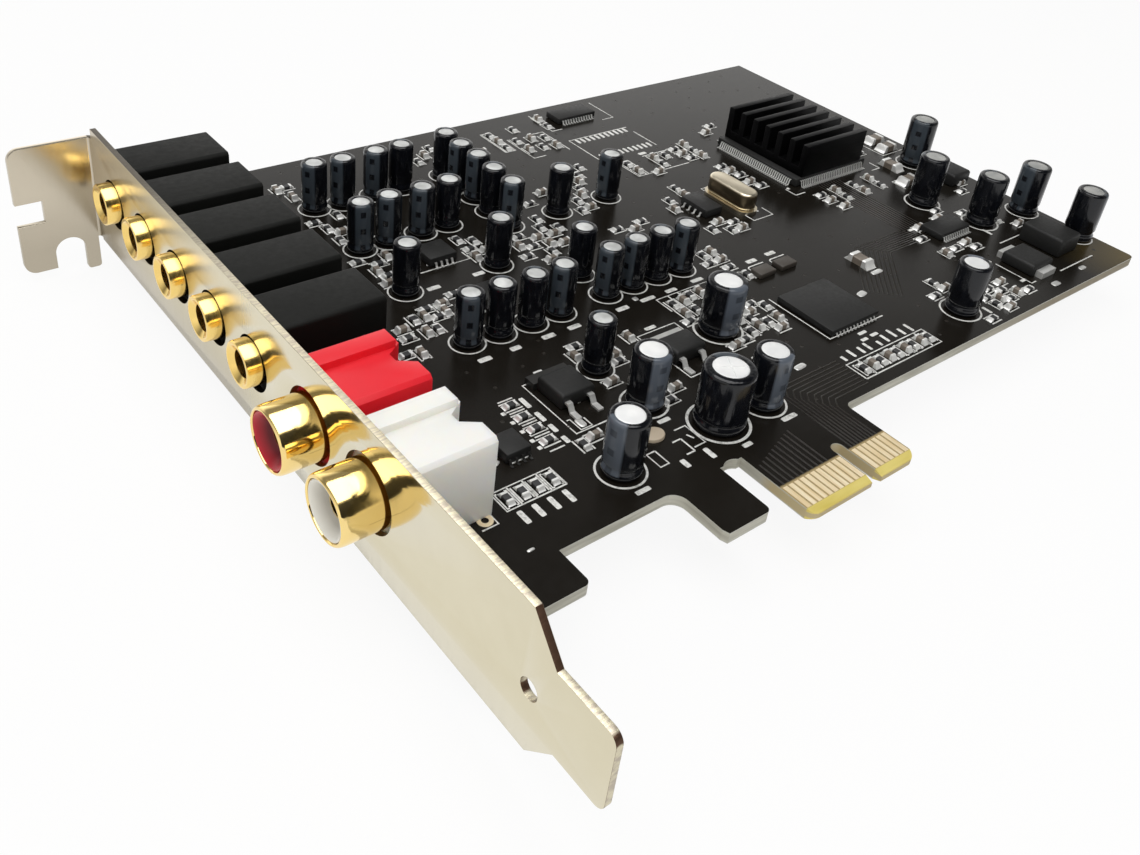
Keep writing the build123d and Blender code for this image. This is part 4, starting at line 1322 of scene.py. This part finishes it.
printed = {
    "rise": 0.004,
    "width": 0.24,
    "height": 0.030,
    # the lines beside a small part: gap to it, reach past its ends, and the hooks on every third part
    "gap": 0.34,
    "past": 0.45,
    "hook": 0.28,
    "copperWidth": 0.30,
    "copperHeight": 0.018,
    "copperRise": 0.001,
    # outlines and corner marks beside the larger parts
    "paths": [
        [(-33.5, 19.6), (-42.1, 19.6), (-42.1, 22.9), (-33.5, 22.9), (-33.5, 19.6)],
        [(-39.9, 19.6), (-39.9, 22.9)], [(-37.7, 19.6), (-37.7, 22.9)], [(-35.6, 19.6), (-35.6, 22.9)],
        [(-37.0, 25.85), (-34.0, 25.85)], [(-24.6, 37.2), (-26.8, 37.2), (-26.8, 26.0), (-21.4, 26.0)],
        [(-26.3, 28.6), (-25.8, 28.6), (-25.8, 26.3), (-24.0, 26.3), (-24.0, 28.0)],
        [(-46.2, 20.9), (-44.0, 20.9), (-44.0, 18.6), (-46.2, 18.6)],
        [(-20.6, 18.4), (-22.0, 18.4), (-22.0, 15.8), (-20.6, 15.8), (-20.6, 18.4)],
        [(-16.2, 18.4), (-17.6, 18.4)], [(-16.2, 15.8), (-17.6, 15.8)], [(-16.2, 18.4), (-16.2, 15.8)],
        [(-15.8, 20.0), (-13.9, 20.0), (-13.9, 16.3), (-15.8, 16.3)], [(-15.0, 18.6), (-14.6, 17.6)],
        [(-31.7, 35.9), (-29.4, 35.9)], [(-31.7, 33.3), (-29.4, 33.3)], [(-31.7, 30.7), (-29.4, 30.7)],
        [(-31.7, 28.1), (-29.4, 28.1)], [(-31.7, 25.1), (-29.4, 25.1)],
        [(3.0, 40.2), (3.0, 43.7), (14.2, 43.7), (8.6, 39.4)], [(5.3, 43.7), (5.3, 40.4)],
        [(7.3, 43.7), (7.3, 40.8)], [(-6.0, 35.6), (-6.0, 37.9), (1.2, 37.9), (1.2, 35.4)],
        [(-6.0, 31.2), (-6.0, 27.0), (-3.6, 27.0)], [(18.6, 35.2), (18.6, 23.1), (31.0, 23.1)],
        [(15.5, 13.9), (33.3, 13.9), (33.3, 17.6), (15.5, 17.6), (15.5, 13.9)],
        [(17.95, 17.6), (17.95, 13.9)], [(31.25, 17.6), (31.25, 13.9)],
        [(62.1, 23.2), (62.1, 16.3), (63.4, 16.3)], [(69.4, 27.0), (76.6, 27.0)],
        [(70.6, 16.0), (81.2, 16.0)], [(80.6, 27.0), (81.2, 27.0), (81.2, 24.0)],
        [(59.2, 38.2), (59.2, 36.4)], [(69.2, 38.2), (69.2, 36.4)],
        [(22.9, 40.9), (22.5, 41.4), (22.5, 43.1), (22.9, 43.4), (26.2, 43.4)],
        [(27.9, 40.9), (27.5, 41.4), (27.5, 43.1), (27.9, 43.4), (31.2, 43.4)],
        [(-23.4, 66.8), (-14.6, 66.8), (-14.6, 69.0)], [(-28.2, 58.9), (-25.0, 58.9)],
        [(26.2, 84.4), (26.2, 93.2), (40.6, 93.2)], [(40.6, 91.0), (40.6, 84.4)],
        [(26.2, 84.4), (28.0, 84.4)], [(15.7, 98.6), (15.7, 90.2), (18.4, 90.2)],
        [(24.0, 90.2), (24.0, 98.6), (21.4, 98.6)],
        [(12.4, 94.4), (12.4, 102.6), (14.6, 102.6), (14.6, 94.4), (12.4, 94.4)],
        [(28.4, 81.8), (28.4, 75.8), (41.0, 75.8)], [(34.6, 81.8), (41.0, 81.8)],
        [(30.9, 81.8), (30.9, 75.8)], [(26.0, 105.6), (26.0, 98.0), (28.4, 98.0)],
        [(38.6, 98.0), (41.4, 98.0), (41.4, 105.6)],
        [(40.2, 56.6), (40.2, 53.9), (35.4, 53.9), (35.4, 57.0)],
        [(35.4, 64.0), (35.4, 66.9), (40.2, 66.9), (40.2, 64.4)], [(49.7, 56.9), (52.2, 56.9)],
        [(49.7, 56.9), (49.7, 59.4)], [(74.2, 56.9), (74.2, 59.4)], [(71.8, 56.9), (74.2, 56.9)],
        [(86.6, 60.2), (79.6, 60.2), (79.6, 67.2), (86.6, 67.2)],
        [(71.4, 48.6), (71.4, 51.8), (76.6, 51.8)],
    ],
    # copper that shows through the mask, from the fingers towards the chips
    "copper": [[(1.8 + 0.62 * i, 5.5), (1.8 + 0.62 * i, 17.8 - 0.72 * i), (3.0 + 0.62 * i, 19.0 - 0.72 * i),
                (15.0, 19.0 - 0.72 * i)] for i in range(9)]
    + [[(-11.2 + 0.9 * i, 5.5), (-11.2 + 0.9 * i, 9.6 + 0.3 * i)] for i in range(10)]
    + [[(34.2 + 0.55 * i, 29.0 - 0.5 * i), (44.0 + 0.55 * i, 38.8 - 0.5 * i),
        (56.6 + 0.7 * i, 38.8 - 0.5 * i), (56.6 + 0.7 * i, 57.4)] for i in range(9)],
}
printZ = boardTop + printed["rise"]


def frameLines(x, y, turn, length, width, hook):
    # the two printed lines beside a small part, with short hooks at the ends if wanted
    halfLong, halfWide = length * 0.5 + printed["past"], width / 2 + printed["gap"]
    lines = []
    for side in (-1, 1):
        line = [(-halfLong, side * halfWide), (halfLong, side * halfWide)]
        if hook:
            near = side * (halfWide - hook)
            line = [(-halfLong, near)] + line + [(halfLong, near)]
        lines.append(line)
    c, s = math.cos(math.radians(turn)), math.sin(math.radians(turn))
    return [[(x + a * c - b * s, y + a * s + b * c, printZ) for a, b in line] for line in lines]


def makePrinting():
    paths = [[(x, y, printZ) for x, y in path] for path in printed["paths"]]
    for kind in ("resistor", "condenser"):
        length, width, height = surface["sizes"][kind]
        for i, (x, y, turn) in enumerate(surface[kind]):
            paths += frameLines(x, y, turn, length, width, printed["hook"] if i % 3 == 0 else 0.0)
    ribbons("printedLines", paths, paint["silk"], "white_plastic", printed["width"], printed["height"])
    copper = [[(x, y, boardTop + printed["copperRise"]) for x, y in path] for path in printed["copper"]]
    wide, high = printed["copperWidth"], printed["copperHeight"]
    ribbons("copperLines", copper, paint["trace"], "board_mask", wide, high)


vias = {
    "count": 150,
    "tries": 6000,
    "seed": 41,
    "alongX": (-38.0, 86.0),
    "alongY": (14.0, 106.0),
    # least distances: to a chip or a socket, to a can, to the middle of a small part, between two vias
    "toBody": 1.6,
    "toCan": 1.4,
    "toPart": 1.7,
    "apart": 2.2,
    "avoid": ["main_chip", "memory_chip", "small_chips", "regulator_bodies", "regulator_tabs", "coil_block",
              "diode_block", "filter_block", "ceramic_blocks", "crystal_rim", "phono_body_white",
              "phono_body_red"]
    + [f"jack_body_{number}" for number in range(1, 6)],
    "top": [(0.30, 0.0), (0.28, 0.02), (0.15, 0.022), (0.12, 0.006), (0, 0.006)],
    "under": [(0.30, 0.0), (0.28, 0.02), (0.15, 0.022), (0, 0.022)],
    "underDrop": 0.02,
    "sides": 12,
}


def makeVias():
    # small plated holes filled with mask, kept away from everything that stands on the board
    solids, margin = [], vias["toBody"]
    for node in vias["avoid"]:
        for low, high in islands(node):
            solids.append((low[0] - margin, low[1] - margin, high[0] + margin, high[1] + margin))
    for group, (radius, height) in cans["groups"].items():
        reach = radius + vias["toCan"]
        for x, y in middles(f"capacitor_tops_{group}"):
            solids.append((x - reach, y - reach, x + reach, y + reach))
    kinds = ("resistor", "condenser", "large", "pads", "bars")
    taken = [(x, y, vias["toPart"]) for kind in kinds for x, y, *rest in surface[kind]]
    draw = random.Random(vias["seed"])
    places = []
    for attempt in range(vias["tries"]):
        x, y = draw.uniform(*vias["alongX"]), draw.uniform(*vias["alongY"])
        if any(x0 < x < x1 and y0 < y < y1 for x0, y0, x1, y1 in solids):
            continue
        if all(math.hypot(x - px, y - py) > gap for px, py, gap in taken):
            places.append((x, y))
            taken.append((x, y, vias["apart"]))
        if len(places) == vias["count"]:
            break
    rim = prototype("viaShape", *lathe(vias["top"], vias["sides"]))
    stand("filledVias", rim, [(x, y, boardTop) for x, y in places], paint["trace"], "board_mask")
    rim = prototype("viaShapeBelow", *lathe(vias["under"], vias["sides"]))
    below = [(x, y, boardUnder - vias["underDrop"]) for x, y in places]
    stand("filledViasBelow", rim, below, paint["trace"], "board_mask")


solder = {
    # a joint on the solder side, turned round its pin, and its sizes at the sockets and at the cans' leads
    "joint": [(1.0, 0.0), (0.98, -0.10), (0.72, -0.34), (0.48, -0.70), (0.34, -1.10), (0.22, -1.32),
              (0, -1.36)],
    "sides": 16,
    "pin": (1.15, 1.15, 0.9),
    "lead": (0.95, 0.95, 1.0),
    # half the distance between a can's two leads, for cans thinner than wideFrom in radius and for the rest
    "apart": (1.25, 1.75),
    "wideFrom": 2.5,
    "turnSpread": 20.0,     # degrees
    "lean": 2.0,
    "seed": 7,
}


def makeSolder():
    # joints on the solder side: round the socket pins and at the two leads of each capacitor
    shape = prototype("solderJointShape", *lathe(solder["joint"], solder["sides"]))
    spots = []
    for node in ("jack_pins", "phono_pins"):
        spots += [(x, y, boardUnder, 0, *solder["pin"]) for x, y in middles(node)]
    for group, (radius, height) in cans["groups"].items():
        apart = solder["apart"][0 if radius < solder["wideFrom"] else 1]
        for x, y in middles(f"capacitor_tops_{group}"):
            spots.append((x - apart, y, boardUnder, 0, *solder["lead"]))
            spots.append((x + apart, y, boardUnder, 40, *solder["lead"]))
    turnSpread, lean, seed = solder["turnSpread"], solder["lean"], solder["seed"]
    stand("solderJoints", shape, spots, paint["solder"], "pin_tin", (), turnSpread, lean, seed)


earth = {
    # the plated hole beside the white socket, and the bare tan disc near the edge
    "ring": [(0.45, -0.02), (0.45, 0.05), (0.62, 0.07), (0.95, 0.06), (1.0, 0.0)],
    "ringSides": 24,
    "ringPlace": (-45.0, 19.8),
    "disc": [(1.6, 0.0), (1.6, 0.25), (1.5, 0.42), (1.1, 0.50), (0, 0.52)],
    "discSides": 28,
    "discPlace": (-18.8, 20.6),
    "discSize": (1, 0.8, 1),
}


def makeEarthHole():
    hole = prototype("platedRingShape", *lathe(earth["ring"], earth["ringSides"]))
    stand("platedRings", hole, [(*earth["ringPlace"], boardTop)], paint["fingers"], "contact_gold")
    shape = prototype("discShape", *lathe(earth["disc"], earth["discSides"]))
    spot = (*earth["discPlace"], boardTop, 0, *earth["discSize"])
    stand("ceramicDisc", shape, [spot], paint["tan"], "ceramic_brown")


makeSurfaceParts()
makePrinting()
makeVias()
makeSolder()
makeEarthHole()
print("small parts and printing ready")


for shape in prototypes:
    bpy.data.objects.remove(shape)
bpy.context.scene.view_settings.view_transform = "Standard"
low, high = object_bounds()
